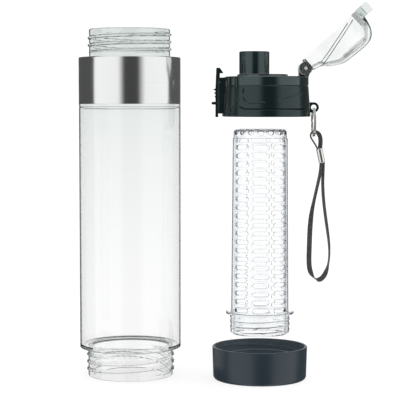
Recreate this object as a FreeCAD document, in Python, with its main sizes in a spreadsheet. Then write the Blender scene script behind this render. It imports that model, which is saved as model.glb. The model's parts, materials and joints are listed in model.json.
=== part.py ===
import FreeCAD, Part
import math
import os
import re
import Sketcher

# Fruit infuser water bottle, taken apart as for washing: the bottle stands on its open bottom neck,
# and beside it are the base cap, the infuser above it, and the lid with its cover open above both.
# Millimetres, +Z up, +X towards the lid, origin at the centre of the bottle's bottom rim.

doc = FreeCAD.newDocument("infuser_bottle")
sheet = doc.addObject("Spreadsheet::Sheet", "Sizes")

BOTTLE_SIZES = [
    ("bottle_height", "248"),
    ("body_radius", "36.4"),
    ("body_wall", "2.5"),
    ("shoulder_round", "1.6"),
    ("shoulder_slope", "1.2"),
    ("base_neck_length", "20.3"),
    ("base_neck_radius", "30.5"),
    ("base_neck_wall", "2.8"),
    ("top_neck_length", "20"),
    ("top_neck_radius", "29"),
    ("top_neck_wall", "2.6"),
    ("rim_round", "0.6"),
    ("thread_depth", "1"),
    ("thread_clearance", "0.3"),
    ("band_height", "33.1"),
    ("band_thickness", "0.8"),
    ("band_fit", "0.1"),
    ("band_edge", "0.7"),
    ("neck_collar", "0.8"),
    ("overrun", "5"),
]
BOTTLE_RESULTS = [
    ("base_bore", "base_neck_radius - base_neck_wall"),
    ("top_bore", "top_neck_radius - top_neck_wall"),
    ("body_bore", "body_radius - body_wall"),
    ("band_top", "bottle_height - top_neck_length"),
    ("band_bottom", "band_top - band_height"),
    ("band_seat", "body_radius - band_thickness"),
    ("band_outer", "band_seat + band_fit + band_thickness"),
    ("top_shoulder", "band_top - band_thickness - band_fit"),
]
BASE_SIZES = [
    ("base_stand_x", "92.5"),
    ("base_stand_y", "-16"),
    ("cap_wall", "1.9"),
    ("cap_draft", "0.7"),
    ("cap_floor", "2.4"),
    ("cap_recess", "0.6"),
    ("cap_foot", "4"),
    ("cap_round", "2.5"),
    ("cap_lip", "0.5"),
    ("cap_gap", "0.6"),
    ("base_gasket_thickness", "1.3"),
    ("gasket_overhang", "0.7"),
    ("boss_wall", "2"),
    ("boss_clearance", "0.35"),
    ("foot_clearance", "0.6"),
]
INFUSER_SIZES = [
    ("infuser_stand_z", "32.6"),
    ("tube_length", "138.4"),
    ("tube_radius_low", "20.4"),
    ("tube_radius_high", "19.4"),
    ("tube_wall", "1.7"),
    ("foot_length", "14.4"),
    ("foot_radius", "20.9"),
    ("foot_chamfer", "1.2"),
    ("foot_thread_depth", "1.1"),
    ("flange_radius", "24.1"),
    ("flange_thickness", "1.2"),
    ("slot_width", "12"),
    ("slot_height", "3.1"),
    ("slot_corner", "1"),
    ("slot_pitch", "6"),
    ("slot_margin", "2.4"),
    ("slot_rows", "20"),
    ("slot_columns", "3"),
    ("slot_spread_angle", "90"),
    ("crown_height", "6.6"),
    ("crown_inset", "0.6"),
    ("crown_wall", "1.5"),
    ("crown_round", "3"),
    ("crown_spigot", "3"),
    ("crown_fit", "0.1"),
    ("crown_hole_radius", "1.2"),
    ("crown_holes", "16"),
    ("crown_hole_angle", "45"),
]
BASE_RESULTS = [
    ("cap_bore", "base_neck_radius + thread_depth + thread_clearance"),
    ("cap_outer", "cap_bore + cap_wall"),
    ("cap_bottom", "cap_outer - cap_draft"),
    ("cap_height", "cap_floor + base_gasket_thickness + base_neck_length - cap_gap"),
    ("boss_bore", "foot_radius + foot_thread_depth + boss_clearance"),
    ("boss_outer", "boss_bore + boss_wall"),
    ("boss_top", "cap_floor + foot_clearance + foot_length - thread_clearance"),
    ("tube_bore_low", "tube_radius_low - tube_wall"),
    ("tube_bore_high", "tube_radius_high - tube_wall"),
    ("flange_top", "foot_length + flange_thickness"),
    ("crown_radius", "tube_radius_high - crown_inset"),
    ("slot_span", "slot_pitch * (slot_rows - 1)"),
    ("slot_first", "flange_top + slot_margin"),
]
LID_SIZES = [
    ("lid_stand_x", "97.4"),
    ("lid_stand_z", "185.8"),
    ("deck_z", "28.6"),
    ("deck_thickness", "2.4"),
    ("deck_round", "0.9"),
    ("skirt_wall", "1.3"),
    ("skirt_edge", "0.8"),
    ("collar_wall", "0.9"),
    ("taper_top", "20.6"),
    ("bore_depth", "16.2"),
    ("rim_stop", "19.6"),
    ("lid_gasket_thickness", "1.5"),
    ("chamber_radius", "24.5"),
    ("groove_width", "0.8"),
    ("groove_depth", "0.45"),
    ("groove_high", "21.8"),
    ("groove_low", "5.5"),
    ("spout_radius", "10.8"),
    ("spout_bore", "8.8"),
    ("spout_rise", "17.8"),
    ("spout_edge", "0.8"),
    ("spout_offset", "8.6"),
    ("spout_fit", "0.1"),
    ("spigot_inset", "0.4"),
    ("plate_radius", "18.1"),
    ("plate_offset", "2.7"),
    ("plate_rise", "1.6"),
    ("eyelet_radius", "3.7"),
    ("eyelet_hole", "1.95"),
    ("eyelet_reach", "2.7"),
    ("eyelet_z", "6.6"),
    ("eyelet_thickness", "3"),
]
LID_RESULTS = [
    ("lid_bore", "top_neck_radius + thread_depth + thread_clearance"),
    ("collar_bore", "top_neck_radius + thread_clearance"),
    ("lid_bottom", "lid_bore + skirt_wall"),
    ("lid_top", "collar_bore + collar_wall"),
    ("taper_share", "(lid_bottom - lid_top) / (taper_top - skirt_edge)"),
    ("groove_low_radius", "lid_bottom - (groove_low - skirt_edge) * taper_share"),
    ("step_z", "rim_stop + lid_gasket_thickness"),
    ("deck_under", "deck_z - deck_thickness"),
    ("spigot_radius", "spout_radius - spigot_inset"),
    ("eyelet_wall", "lid_bottom - (eyelet_z - skirt_edge) * taper_share"),
    ("eyelet_x", "eyelet_wall + eyelet_reach"),
]
HINGE_SIZES = [
    ("hinge_x", "27.4"),
    ("hinge_rise", "5.6"),
    ("ear_radius", "4.4"),
    ("ear_width", "13"),
    ("ear_gap", "0.5"),
    ("ear_inset", "0.4"),
    ("hinge_pin_radius", "1.2"),
    ("pin_clearance", "0.05"),
    ("knuckle_radius", "4.7"),
    ("knuckle_width", "3.2"),
    ("knuckle_gap", "0.4"),
    ("cover_open_angle", "136.7"),
    ("cover_rim_gap", "0.3"),
    ("cover_wall", "1.6"),
    ("cover_heel", "3"),
    ("cover_length", "55.3"),
    ("cover_dome", "17.9"),
    ("cover_tip_half", "9.5"),
    ("cover_bulge", "10.7"),
    ("cover_draft_angle", "6"),
    ("tip_reach", "7.8"),
    ("tip_bite", "1.5"),
    ("tip_rise", "2.1"),
    ("tip_lip", "1.7"),
    ("seal_radius", "10"),
    ("seal_gap", "0.4"),
]
LATCH_SIZES = [
    ("pivot_x", "33.2"),
    ("pivot_z", "24.4"),
    ("pivot_boss", "2.2"),
    ("latch_pin_radius", "1"),
    ("latch_half", "5.5"),
    ("latch_gap", "0.5"),
    ("cheek_thickness", "2.2"),
    ("cheek_reach", "34.6"),
    ("cheek_bottom", "2.2"),
    ("cheek_top", "27.8"),
    ("cheek_bite", "0.15"),
    ("latch_face", "36.3"),
    ("latch_back", "34.3"),
    ("latch_bend_z", "20"),
    ("latch_tail", "0.3"),
    ("hook_face", "35.7"),
    ("hook_top", "34.7"),
    ("hook_under", "30.9"),
    ("hook_tip", "30.8"),
    ("hook_nose", "0.4"),
    ("hook_bite", "0.4"),
    ("rib_z", "19.3"),
    ("rib_pitch", "2.5"),
    ("rib_half", "0.8"),
    ("rib_reach", "1.7"),
    ("rib_step", "0.5"),
    ("rib_count", "3"),
    ("nub_z", "9.6"),
    ("nub_half", "1"),
    ("nub_reach", "2.8"),
    ("spring_radius", "1.7"),
    ("spring_wire", "0.25"),
    ("spring_pitch", "1"),
    ("spring_turns", "3"),
    ("spring_leg", "6"),
    ("spring_pocket_half", "2.2"),
]
LATCH_RESULTS = [
    ("hinge_z", "deck_z + hinge_rise"),
    ("knuckle_start", "ear_width / 2 + knuckle_gap"),
    ("knuckle_end", "knuckle_start + knuckle_width"),
    ("cover_rim", "cover_rim_gap - hinge_rise"),
    ("seal_bottom", "spout_rise + seal_gap - hinge_rise"),
    ("seal_u", "hinge_x + spout_offset"),
    ("cover_half_chord", "(cover_length - cover_heel) / 2"),
    ("tip_u", "cover_length + tip_reach"),
    ("notch_half", "latch_half + latch_gap"),
    ("notch_u", "hinge_x + hook_tip + hook_bite"),
    ("hook_room_u", "hinge_x + hook_tip - latch_gap"),
    ("cheek_inner", "latch_half + latch_gap"),
    ("cheek_outer", "cheek_inner + cheek_thickness"),
    ("cheek_root_low", "sqrt((lid_bore + cheek_bite)^2 - cheek_inner^2)"),
    ("cheek_root_high", "sqrt((collar_bore + cheek_bite)^2 - cheek_inner^2)"),
]
STRAP_SIZES = [
    ("ring_radius", "9.8"),
    ("ring_wire", "0.85"),
    ("ring_clearance", "0.45"),
    ("ring_yaw_angle", "5"),
    ("strap_width", "3.6"),
    ("strap_thickness", "0.9"),
    ("ferrule_width", "4.6"),
    ("ferrule_depth", "4.2"),
    ("ferrule_length", "10.4"),
    ("ferrule_lean_angle", "12"),
    ("ferrule_x", "4.1"),
    ("ferrule_drop", "9.1"),
]
STRAP_RESULTS = [
    ("ring_drop", "eyelet_hole - ring_wire - ring_clearance"),
    ("ring_z", "lid_stand_z + eyelet_z - ring_drop - ring_radius"),
    ("ring_x", "lid_stand_x + eyelet_x"),
    ("strap_z", "ring_z - ring_radius"),
]

# Side view of the cover's dome from the hinge to the tip, as shares of its length and height
COVER_DOME_SHARES = [
    (0.07, 0.30),
    (0.19, 0.40),
    (0.235, 0.575),
    (0.35, 0.82),
    (0.42, 0.91),
    (0.54, 0.95),
    (0.80, 1.0),
    (0.93, 0.80),
    (1.0, 0.17),
]
# Routes of the strap's two cords in the XZ plane, measured from the lowest point of the ring's wire
LOOP_ROUTE = [
    (3.3, -10.2),
    (1.9, -7.2),
    (-0.2, -3.9),
    (-2.0, -1.2),
    (-2.2, 1.4),
    (-0.3, 3.2),
    (2.6, 2.7),
    (4.5, 0.3),
    (5.1, -2.9),
    (5.0, -6.2),
    (4.6, -10.2),
]
WEBBING_ROUTE = [
    (5.6, -18.9),
    (5.3, -25.0),
    (3.4, -34.0),
    (0.9, -45.0),
    (-1.3, -56.0),
    (-2.3, -68.0),
    (-2.6, -80.0),
    (-2.9, -90.0),
    (-2.2, -97.0),
    (0.6, -102.3),
    (4.6, -104.0),
    (7.8, -101.5),
    (10.4, -96.0),
    (11.8, -88.0),
    (11.8, -79.0),
    (10.4, -68.0),
    (8.6, -56.0),
    (7.3, -45.0),
    (6.7, -34.0),
    (7.0, -25.0),
    (7.1, -18.9),
]


def fill_sheet():
    """Give every size a cell: plain numbers first, then the sizes worked out from them."""
    driving = BOTTLE_SIZES + BASE_SIZES + INFUSER_SIZES + LID_SIZES + HINGE_SIZES + LATCH_SIZES + STRAP_SIZES
    results = BOTTLE_RESULTS + BASE_RESULTS + LID_RESULTS + LATCH_RESULTS + STRAP_RESULTS
    cells = driving + [(alias, "=" + formula) for alias, formula in results]
    for row, (alias, content) in enumerate(cells, start=1):
        sheet.set(f"A{row}", content)
        sheet.setAlias(f"A{row}", alias)
    doc.recompute()


def size(expression):
    """The value of an expression in the sheet's words."""
    return float(sheet.evalExpression(expression))


def bound(expression):
    """The same expression as another object has to write it."""
    return re.sub(r"\b([a-z]\w*)", r"Sizes.\1", expression)


def bind(item, **expressions):
    """Tie properties of an object to expressions in the sheet's words."""
    for name, expression in expressions.items():
        item.setExpression(name, bound(expression))


def place(item, x="0", z="0", y="0", turn="0"):
    """Set an object down at x, y, z, turned about Y."""
    item.Placement = FreeCAD.Placement(FreeCAD.Vector(), FreeCAD.Rotation(FreeCAD.Vector(0, 1, 0), 1))
    item.setExpression("Placement.Rotation.Angle", bound(turn))
    item.setExpression("Placement.Base.x", bound(x))
    item.setExpression("Placement.Base.y", bound(y))
    item.setExpression("Placement.Base.z", bound(z))


def origin_part(body, role):
    """One of a body's own origin planes or axes."""
    return next(part for part in body.Origin.OriginFeatures if part.Role == role)


def new_body(label, x="0", z="0", y="0", turn="0"):
    body = doc.addObject("PartDesign::Body", label)
    body.Label = label
    place(body, x, z, y, turn)
    return body


def arc_between(start, end, radius, side):
    """An arc from start to end that bulges to the left or the right of the way."""
    chord = end - start
    middle = (start + end) * 0.5
    left = FreeCAD.Vector(-chord.y, chord.x, 0).normalize()
    bulge = left if side == "left" else left * -1
    reach = math.sqrt(max(radius ** 2 - (chord.Length / 2) ** 2, 0))
    centre = middle - bulge * reach
    circle = Part.Circle(centre, FreeCAD.Vector(0, 0, 1), radius)
    first, last = (end, start) if side == "left" else (start, end)
    first_angle = math.atan2(first.y - centre.y, first.x - centre.x)
    last_angle = math.atan2(last.y - centre.y, last.x - centre.x)
    return Part.ArcOfCircle(circle, first_angle, last_angle)


def fix_point(sketch, geometry, end, corner):
    """Hold one end of a line or arc at the corner's two expressions."""
    for kind, axis, expression in (("DistanceX", -2, corner[0]), ("DistanceY", -1, corner[1])):
        value = size(expression)
        if abs(value) < 1e-9:
            sketch.addConstraint(Sketcher.Constraint("PointOnObject", geometry, end, axis))
        else:
            index = sketch.addConstraint(Sketcher.Constraint(kind, -1, 1, geometry, end, value))
            sketch.setExpression(f"Constraints[{index}]", bound(expression))


def outline(sketch, corners):
    """Close an outline through corners (x, y) or (x, y, radius, side) where an arc leaves the corner."""
    points = [FreeCAD.Vector(size(corner[0]), size(corner[1]), 0) for corner in corners]
    ends = []
    for number, corner in enumerate(corners):
        start = points[number]
        stop = points[(number + 1) % len(points)]
        if len(corner) == 2:
            ends.append((sketch.addGeometry(Part.LineSegment(start, stop)), 1, 2))
            continue
        geometry = sketch.addGeometry(arc_between(start, stop, size(corner[2]), corner[3]))
        ends.append((geometry, 2, 1) if corner[3] == "left" else (geometry, 1, 2))
        index = sketch.addConstraint(Sketcher.Constraint("Radius", geometry, size(corner[2])))
        sketch.setExpression(f"Constraints[{index}]", bound(corner[2]))
    for number, corner in enumerate(corners):
        geometry, first, last = ends[number]
        following = ends[(number + 1) % len(ends)]
        sketch.addConstraint(Sketcher.Constraint("Coincident", geometry, last, following[0], following[1]))
        fix_point(sketch, geometry, first, corner)


def circle(sketch, x, y, radius):
    """A circle held at two expressions, with its radius bound."""
    centre = FreeCAD.Vector(size(x), size(y), 0)
    geometry = sketch.addGeometry(Part.Circle(centre, FreeCAD.Vector(0, 0, 1), size(radius)))
    index = sketch.addConstraint(Sketcher.Constraint("Radius", geometry, size(radius)))
    sketch.setExpression(f"Constraints[{index}]", bound(radius))
    fix_point(sketch, geometry, 3, (x, y))


def new_sketch(body, name, plane, z="0"):
    """A sketch on one of the body's origin planes, raised along that plane's normal."""
    sketch = body.newObject("Sketcher::SketchObject", name)
    sketch.AttachmentSupport = (origin_part(body, plane), [""])
    sketch.MapMode = "FlatFace"
    sketch.setExpression("AttachmentOffset.Base.z", bound(z))
    return sketch


def revolve(body, name, corners):
    """Turn an outline (radius, height) about the body's Z axis."""
    sketch = new_sketch(body, name + "_profile", "XZ_Plane")
    outline(sketch, corners)
    feature = body.newObject("PartDesign::Revolution", name)
    feature.Profile = sketch
    feature.ReferenceAxis = (sketch, ["V_Axis"])
    feature.Angle = 360
    doc.recompute()
    return feature


def pad(body, name, sketch, length, symmetric=False):
    """Push a sketch out along its normal, or to both sides of its plane."""
    feature = body.newObject("PartDesign::Pad", name)
    feature.Profile = sketch
    feature.SideType = "Symmetric" if symmetric else "One side"
    bind(feature, Length=length)
    doc.recompute()
    return feature


def pocket(body, name, sketch, length, symmetric=False, reverse=False):
    """Cut a sketch into the body and make sure that it took something away."""
    before = body.Shape.Volume
    feature = body.newObject("PartDesign::Pocket", name)
    feature.Profile = sketch
    feature.SideType = "Symmetric" if symmetric else "One side"
    feature.Reversed = reverse
    bind(feature, Length=length)
    doc.recompute()
    if body.Shape.Volume >= before:
        raise RuntimeError(name + " cuts nothing")
    return feature


def polar(body, name, feature, angle, count):
    """Repeat a feature about the body's Z axis."""
    pattern = body.newObject("PartDesign::PolarPattern", name)
    pattern.Originals = [feature]
    pattern.Axis = (origin_part(body, "Z_Axis"), [""])
    bind(pattern, Angle=angle, Occurrences=count)
    body.Tip = pattern
    doc.recompute()
    return pattern


def rectangle(left, bottom, right, top):
    return [(left, bottom), (right, bottom), (right, top), (left, top)]


def make_bottle_body():
    """Clear tube with a neck at each end and a seat for the steel band."""
    body = new_body("bottle_body")
    revolve(body, "bottle_turn", [
        ("base_neck_radius", "rim_round"),
        ("base_neck_radius", "base_neck_length"),
        ("body_radius - shoulder_round", "base_neck_length", "shoulder_round", "right"),
        ("body_radius", "base_neck_length + shoulder_round"),
        ("body_radius", "band_bottom"),
        ("band_seat", "band_bottom"),
        ("band_seat", "top_shoulder"),
        ("top_neck_radius + neck_collar", "top_shoulder"),
        ("top_neck_radius + neck_collar", "band_top"),
        ("top_neck_radius", "band_top"),
        ("top_neck_radius", "bottle_height - rim_round", "rim_round", "right"),
        ("top_neck_radius - rim_round", "bottle_height"),
        ("top_bore", "bottle_height"),
        ("top_bore", "top_shoulder - body_wall"),
        ("body_bore", "top_shoulder - body_wall - shoulder_slope"),
        ("body_bore", "base_neck_length + body_wall + shoulder_slope"),
        ("base_bore", "base_neck_length + body_wall"),
        ("base_bore", "0"),
        ("base_neck_radius - rim_round", "0", "rim_round", "right"),
    ])
    return body


def make_steel_band():
    """Steel sleeve with a lip turned in over the bottle's shoulder."""
    body = new_body("steel_band")
    revolve(body, "band_turn", [
        ("band_seat + band_fit", "band_bottom"),
        ("band_outer", "band_bottom"),
        ("band_outer", "band_top - band_edge", "band_edge", "right"),
        ("band_outer - band_edge", "band_top"),
        ("top_neck_radius + neck_collar + band_fit", "band_top"),
        ("top_neck_radius + neck_collar + band_fit", "top_shoulder + band_fit"),
        ("band_seat + band_fit", "top_shoulder + band_fit"),
    ])
    return body


def make_base_cap():
    """Screw cap with a recessed foot and a threaded boss for the infuser."""
    body = new_body("base_cap", "base_stand_x", y="base_stand_y")
    revolve(body, "cap_turn", [
        ("cap_bottom - cap_round", "0", "cap_round", "right"),
        ("cap_bottom", "cap_round"),
        ("cap_outer", "cap_height - cap_lip", "cap_lip", "right"),
        ("cap_outer - cap_lip", "cap_height"),
        ("cap_bore", "cap_height"),
        ("cap_bore", "cap_floor"),
        ("boss_outer", "cap_floor"),
        ("boss_outer", "boss_top"),
        ("boss_bore", "boss_top"),
        ("boss_bore", "cap_floor"),
        ("0", "cap_floor"),
        ("0", "cap_recess"),
        ("cap_bottom - cap_round - cap_foot", "cap_recess"),
        ("cap_bottom - cap_round - cap_foot", "0"),
    ])
    return body


def make_ring(label, inner, outer, bottom, top, x, z="0", y="0"):
    """Flat ring of square section."""
    body = new_body(label, x, z, y)
    revolve(body, label + "_turn", rectangle(inner, bottom, outer, top))
    return body


def make_infuser_basket():
    """Slotted tube with a flange and a foot that screws into the base cap."""
    body = new_body("infuser_basket", "base_stand_x", "infuser_stand_z", "base_stand_y")
    revolve(body, "basket_turn", [
        ("foot_radius - foot_chamfer", "0"),
        ("foot_radius", "foot_chamfer"),
        ("foot_radius", "foot_length"),
        ("flange_radius", "foot_length"),
        ("flange_radius", "flange_top"),
        ("tube_radius_low", "flange_top"),
        ("tube_radius_high", "tube_length"),
        ("tube_bore_high", "tube_length"),
        ("tube_bore_low", "flange_top"),
        ("tube_bore_low", "0"),
    ])
    sketch = new_sketch(body, "slot_outline", "XZ_Plane")
    sketch.AttachmentOffset = FreeCAD.Placement(FreeCAD.Vector(), FreeCAD.Rotation(FreeCAD.Vector(0, 1, 0), 1))
    sketch.setExpression("AttachmentOffset.Rotation.Angle", bound("-slot_spread_angle / 2"))
    half = "slot_width / 2"
    low = "slot_first - slot_height / 2"
    high = "slot_first + slot_height / 2"
    outline(sketch, [
        (f"-{half}", f"{low} + slot_corner"),
        (f"slot_corner - {half}", low),
        (f"{half} - slot_corner", low),
        (half, f"{low} + slot_corner"),
        (half, f"{high} - slot_corner"),
        (f"{half} - slot_corner", high),
        (f"slot_corner - {half}", high),
        (f"-{half}", f"{high} - slot_corner"),
    ])
    slot = pocket(body, "slot", sketch, "4 * tube_radius_low", symmetric=True)
    rows = body.newObject("PartDesign::LinearPattern", "slot_rows_pattern")
    rows.Direction = (origin_part(body, "Z_Axis"), [""])
    bind(rows, Length="slot_span", Occurrences="slot_rows")
    columns = body.newObject("PartDesign::PolarPattern", "slot_columns_pattern")
    columns.Axis = (origin_part(body, "Z_Axis"), [""])
    bind(columns, Angle="slot_spread_angle", Occurrences="slot_columns")
    grid = body.newObject("PartDesign::MultiTransform", "slot_grid")
    grid.Originals = [slot]
    grid.Transformations = [rows, columns]
    body.Tip = grid
    doc.recompute()
    return body


def make_infuser_crown():
    """End piece with a ring of holes through its rounded shoulder and a spigot in the tube."""
    body = new_body("infuser_crown", "base_stand_x", "infuser_stand_z + tube_length", "base_stand_y")
    spigot = "tube_bore_high - crown_fit"
    revolve(body, "crown_turn", [
        ("crown_radius", "0"),
        ("crown_radius", "crown_height - crown_round", "crown_round", "right"),
        ("crown_radius - crown_round", "crown_height"),
        ("0", "crown_height"),
        ("0", "crown_height - crown_wall"),
        ("crown_radius - crown_round", "crown_height - crown_wall"),
        (f"{spigot} - crown_wall", "crown_height - crown_round"),
        (f"{spigot} - crown_wall", "-crown_spigot"),
        (spigot, "-crown_spigot"),
        (spigot, "0"),
    ])
    before = body.Shape.Volume
    hole = body.newObject("PartDesign::SubtractiveCylinder", "crown_hole")
    bind(hole, Radius="crown_hole_radius", Height="2 * crown_round")
    place(hole, "crown_radius - crown_round", "crown_height - crown_round", turn="crown_hole_angle")
    doc.recompute()
    if body.Shape.Volume >= before:
        raise RuntimeError("crown_hole cuts nothing")
    polar(body, "crown_hole_ring", hole, "360", "crown_holes")
    return body


def make_lid_shell():
    """Screw lid: skirt, collar over the neck, deck, hinge ear, latch cheeks and strap eyelet."""
    body = new_body("lid_shell", "lid_stand_x", "lid_stand_z")
    revolve(body, "lid_turn", [
        ("lid_bottom - skirt_edge", "0", "skirt_edge", "right"),
        ("lid_bottom", "skirt_edge"),
        ("groove_low_radius", "groove_low - groove_width / 2"),
        ("groove_low_radius - groove_depth", "groove_low"),
        ("groove_low_radius", "groove_low + groove_width / 2"),
        ("lid_top", "taper_top"),
        ("lid_top", "groove_high - groove_width / 2"),
        ("lid_top - groove_depth", "groove_high"),
        ("lid_top", "groove_high + groove_width / 2"),
        ("lid_top", "deck_z - deck_round", "deck_round", "right"),
        ("lid_top - deck_round", "deck_z"),
        ("0", "deck_z"),
        ("0", "deck_under"),
        ("chamber_radius", "deck_under"),
        ("chamber_radius", "step_z"),
        ("collar_bore", "step_z"),
        ("collar_bore", "bore_depth"),
        ("lid_bore", "bore_depth"),
        ("lid_bore", "0"),
    ])
    add_spout_hole(body)
    add_hinge_ear(body)
    add_latch_cheeks(body)
    add_eyelet(body)
    return body


def add_spout_hole(body):
    sketch = new_sketch(body, "spout_hole_outline", "XY_Plane", "deck_z")
    circle(sketch, "-spout_offset", "0", "spigot_radius + spout_fit")
    pocket(body, "spout_hole", sketch, "2 * deck_thickness", symmetric=True)


def add_hinge_ear(body):
    """Ear on the deck that carries the cover's pin."""
    sketch = new_sketch(body, "ear_outline", "XZ_Plane")
    outline(sketch, [
        ("hinge_x - ear_radius", "deck_under"),
        ("lid_top - ear_inset", "deck_under"),
        ("lid_top - ear_inset", "deck_z"),
        ("hinge_x + ear_radius", "hinge_z", "ear_radius", "right"),
        ("hinge_x", "hinge_z + ear_radius", "ear_radius", "right"),
        ("hinge_x - ear_radius", "hinge_z"),
    ])
    pad(body, "ear", sketch, "ear_width", symmetric=True)
    hole = new_sketch(body, "ear_hole_outline", "XZ_Plane")
    circle(hole, "hinge_x", "hinge_z", "hinge_pin_radius + pin_clearance")
    pocket(body, "ear_hole", hole, "2 * ear_width", symmetric=True)


def add_latch_cheeks(body):
    """Two cheeks on the skirt, one each side of the latch, with a hole for its pin."""
    cheek = [
        ("-cheek_reach", "cheek_bottom"),
        ("-cheek_root_low", "cheek_bottom"),
        ("-cheek_root_low", "bore_depth"),
        ("-cheek_root_high", "bore_depth"),
        ("-cheek_root_high", "cheek_top"),
        ("-cheek_reach", "cheek_top"),
    ]
    for name, offset in (("front", "cheek_inner"), ("rear", "-cheek_outer")):
        sketch = new_sketch(body, f"cheek_{name}_outline", "XZ_Plane", offset)
        outline(sketch, cheek)
        pad(body, f"cheek_{name}", sketch, "cheek_thickness")
    hole = new_sketch(body, "cheek_hole_outline", "XZ_Plane")
    circle(hole, "-pivot_x", "pivot_z", "latch_pin_radius + pin_clearance")
    pocket(body, "cheek_hole", hole, "4 * cheek_outer", symmetric=True)


def add_eyelet(body):
    """Eye on the skirt for the strap's ring."""
    sketch = new_sketch(body, "eyelet_outline", "XZ_Plane")
    outline(sketch, [
        ("eyelet_wall - groove_depth", "eyelet_z - eyelet_radius"),
        ("eyelet_x", "eyelet_z - eyelet_radius", "eyelet_radius", "right"),
        ("eyelet_x + eyelet_radius", "eyelet_z", "eyelet_radius", "right"),
        ("eyelet_x", "eyelet_z + eyelet_radius"),
        ("eyelet_wall - groove_depth", "eyelet_z + eyelet_radius"),
    ])
    pad(body, "eyelet", sketch, "eyelet_thickness", symmetric=True)
    hole = new_sketch(body, "eyelet_hole_outline", "XZ_Plane")
    circle(hole, "eyelet_x", "eyelet_z", "eyelet_hole")
    pocket(body, "eyelet_hole_cut", hole, "2 * eyelet_thickness", symmetric=True)


def make_spout():
    """Drinking spout with a rounded lip on a round plate, and a spigot through the deck."""
    body = new_body("spout", "lid_stand_x - spout_offset", "lid_stand_z + deck_z")
    revolve(body, "spout_turn", [
        ("spout_bore", "-deck_thickness"),
        ("spigot_radius", "-deck_thickness"),
        ("spigot_radius", "0"),
        ("spout_radius", "0"),
        ("spout_radius", "spout_rise - spout_edge", "spout_edge", "right"),
        ("spout_radius - spout_edge", "spout_rise"),
        ("spout_bore", "spout_rise"),
    ])
    sketch = new_sketch(body, "plate_outline", "XY_Plane")
    circle(sketch, "spout_offset - plate_offset", "0", "plate_radius")
    circle(sketch, "0", "0", "spout_bore")
    pad(body, "plate", sketch, "plate_rise")
    return body


def cover_block(name, inset):
    """The cover's full outer or inner form about its hinge, closed: a drafted plan cut by the dome line."""
    body = new_body(name)
    plan = new_sketch(body, name + "_plan", "XY_Plane", "cover_rim")
    heel = f"-(cover_heel + {inset})"
    tip = f"-(cover_length - {inset})"
    heel_half = f"knuckle_end - {inset}"
    tip_half = f"cover_tip_half - {inset}"
    side_radius = f"((cover_half_chord - {inset})^2 + cover_bulge^2) / (2 * cover_bulge)"
    outline(plan, [
        (heel, f"-({heel_half})"),
        (heel, heel_half, side_radius, "right"),
        (tip, tip_half),
        (tip, f"-({tip_half})", side_radius, "right"),
    ])
    walls = pad(body, name + "_walls", plan, "2 * cover_dome")
    bind(walls, TaperAngle="-cover_draft_angle")
    doc.recompute()
    dome = new_sketch(body, name + "_dome", "XZ_Plane")
    shares = [(f"-{u} * cover_length", f"{v} * cover_dome - {inset}") for u, v in COVER_DOME_SHARES]
    outline(dome, shares + [
        ("-cover_length - overrun", f"{COVER_DOME_SHARES[-1][1]} * cover_dome - {inset}"),
        ("-cover_length - overrun", "4 * cover_dome"),
        ("overrun", "4 * cover_dome"),
        ("overrun", f"{COVER_DOME_SHARES[0][1]} * cover_dome - {inset}"),
    ])
    pocket(body, name + "_dome_cut", dome, "8 * cover_bulge", symmetric=True)
    return body


def part_box(name, x, y, z, length, width, height):
    box = doc.addObject("Part::Box", name)
    bind(box, Length=length, Width=width, Height=height)
    place(box, x, z, y)
    return box


def part_cylinder(name, x, y, z, radius, height):
    """Cylinder along Y from y."""
    cylinder = doc.addObject("Part::Cylinder", name)
    bind(cylinder, Radius=radius, Height=height)
    cylinder.Placement = FreeCAD.Placement(FreeCAD.Vector(), FreeCAD.Rotation(FreeCAD.Vector(1, 0, 0), -90))
    for axis, expression in (("x", x), ("y", y), ("z", z)):
        cylinder.setExpression(f"Placement.Base.{axis}", bound(expression))
    return cylinder


def join(name, items):
    fused = doc.addObject("Part::MultiFuse", name)
    fused.Shapes = items
    return fused


def cut(name, base, tool):
    difference = doc.addObject("Part::Cut", name)
    difference.Base = base
    difference.Tool = tool
    return difference


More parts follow.
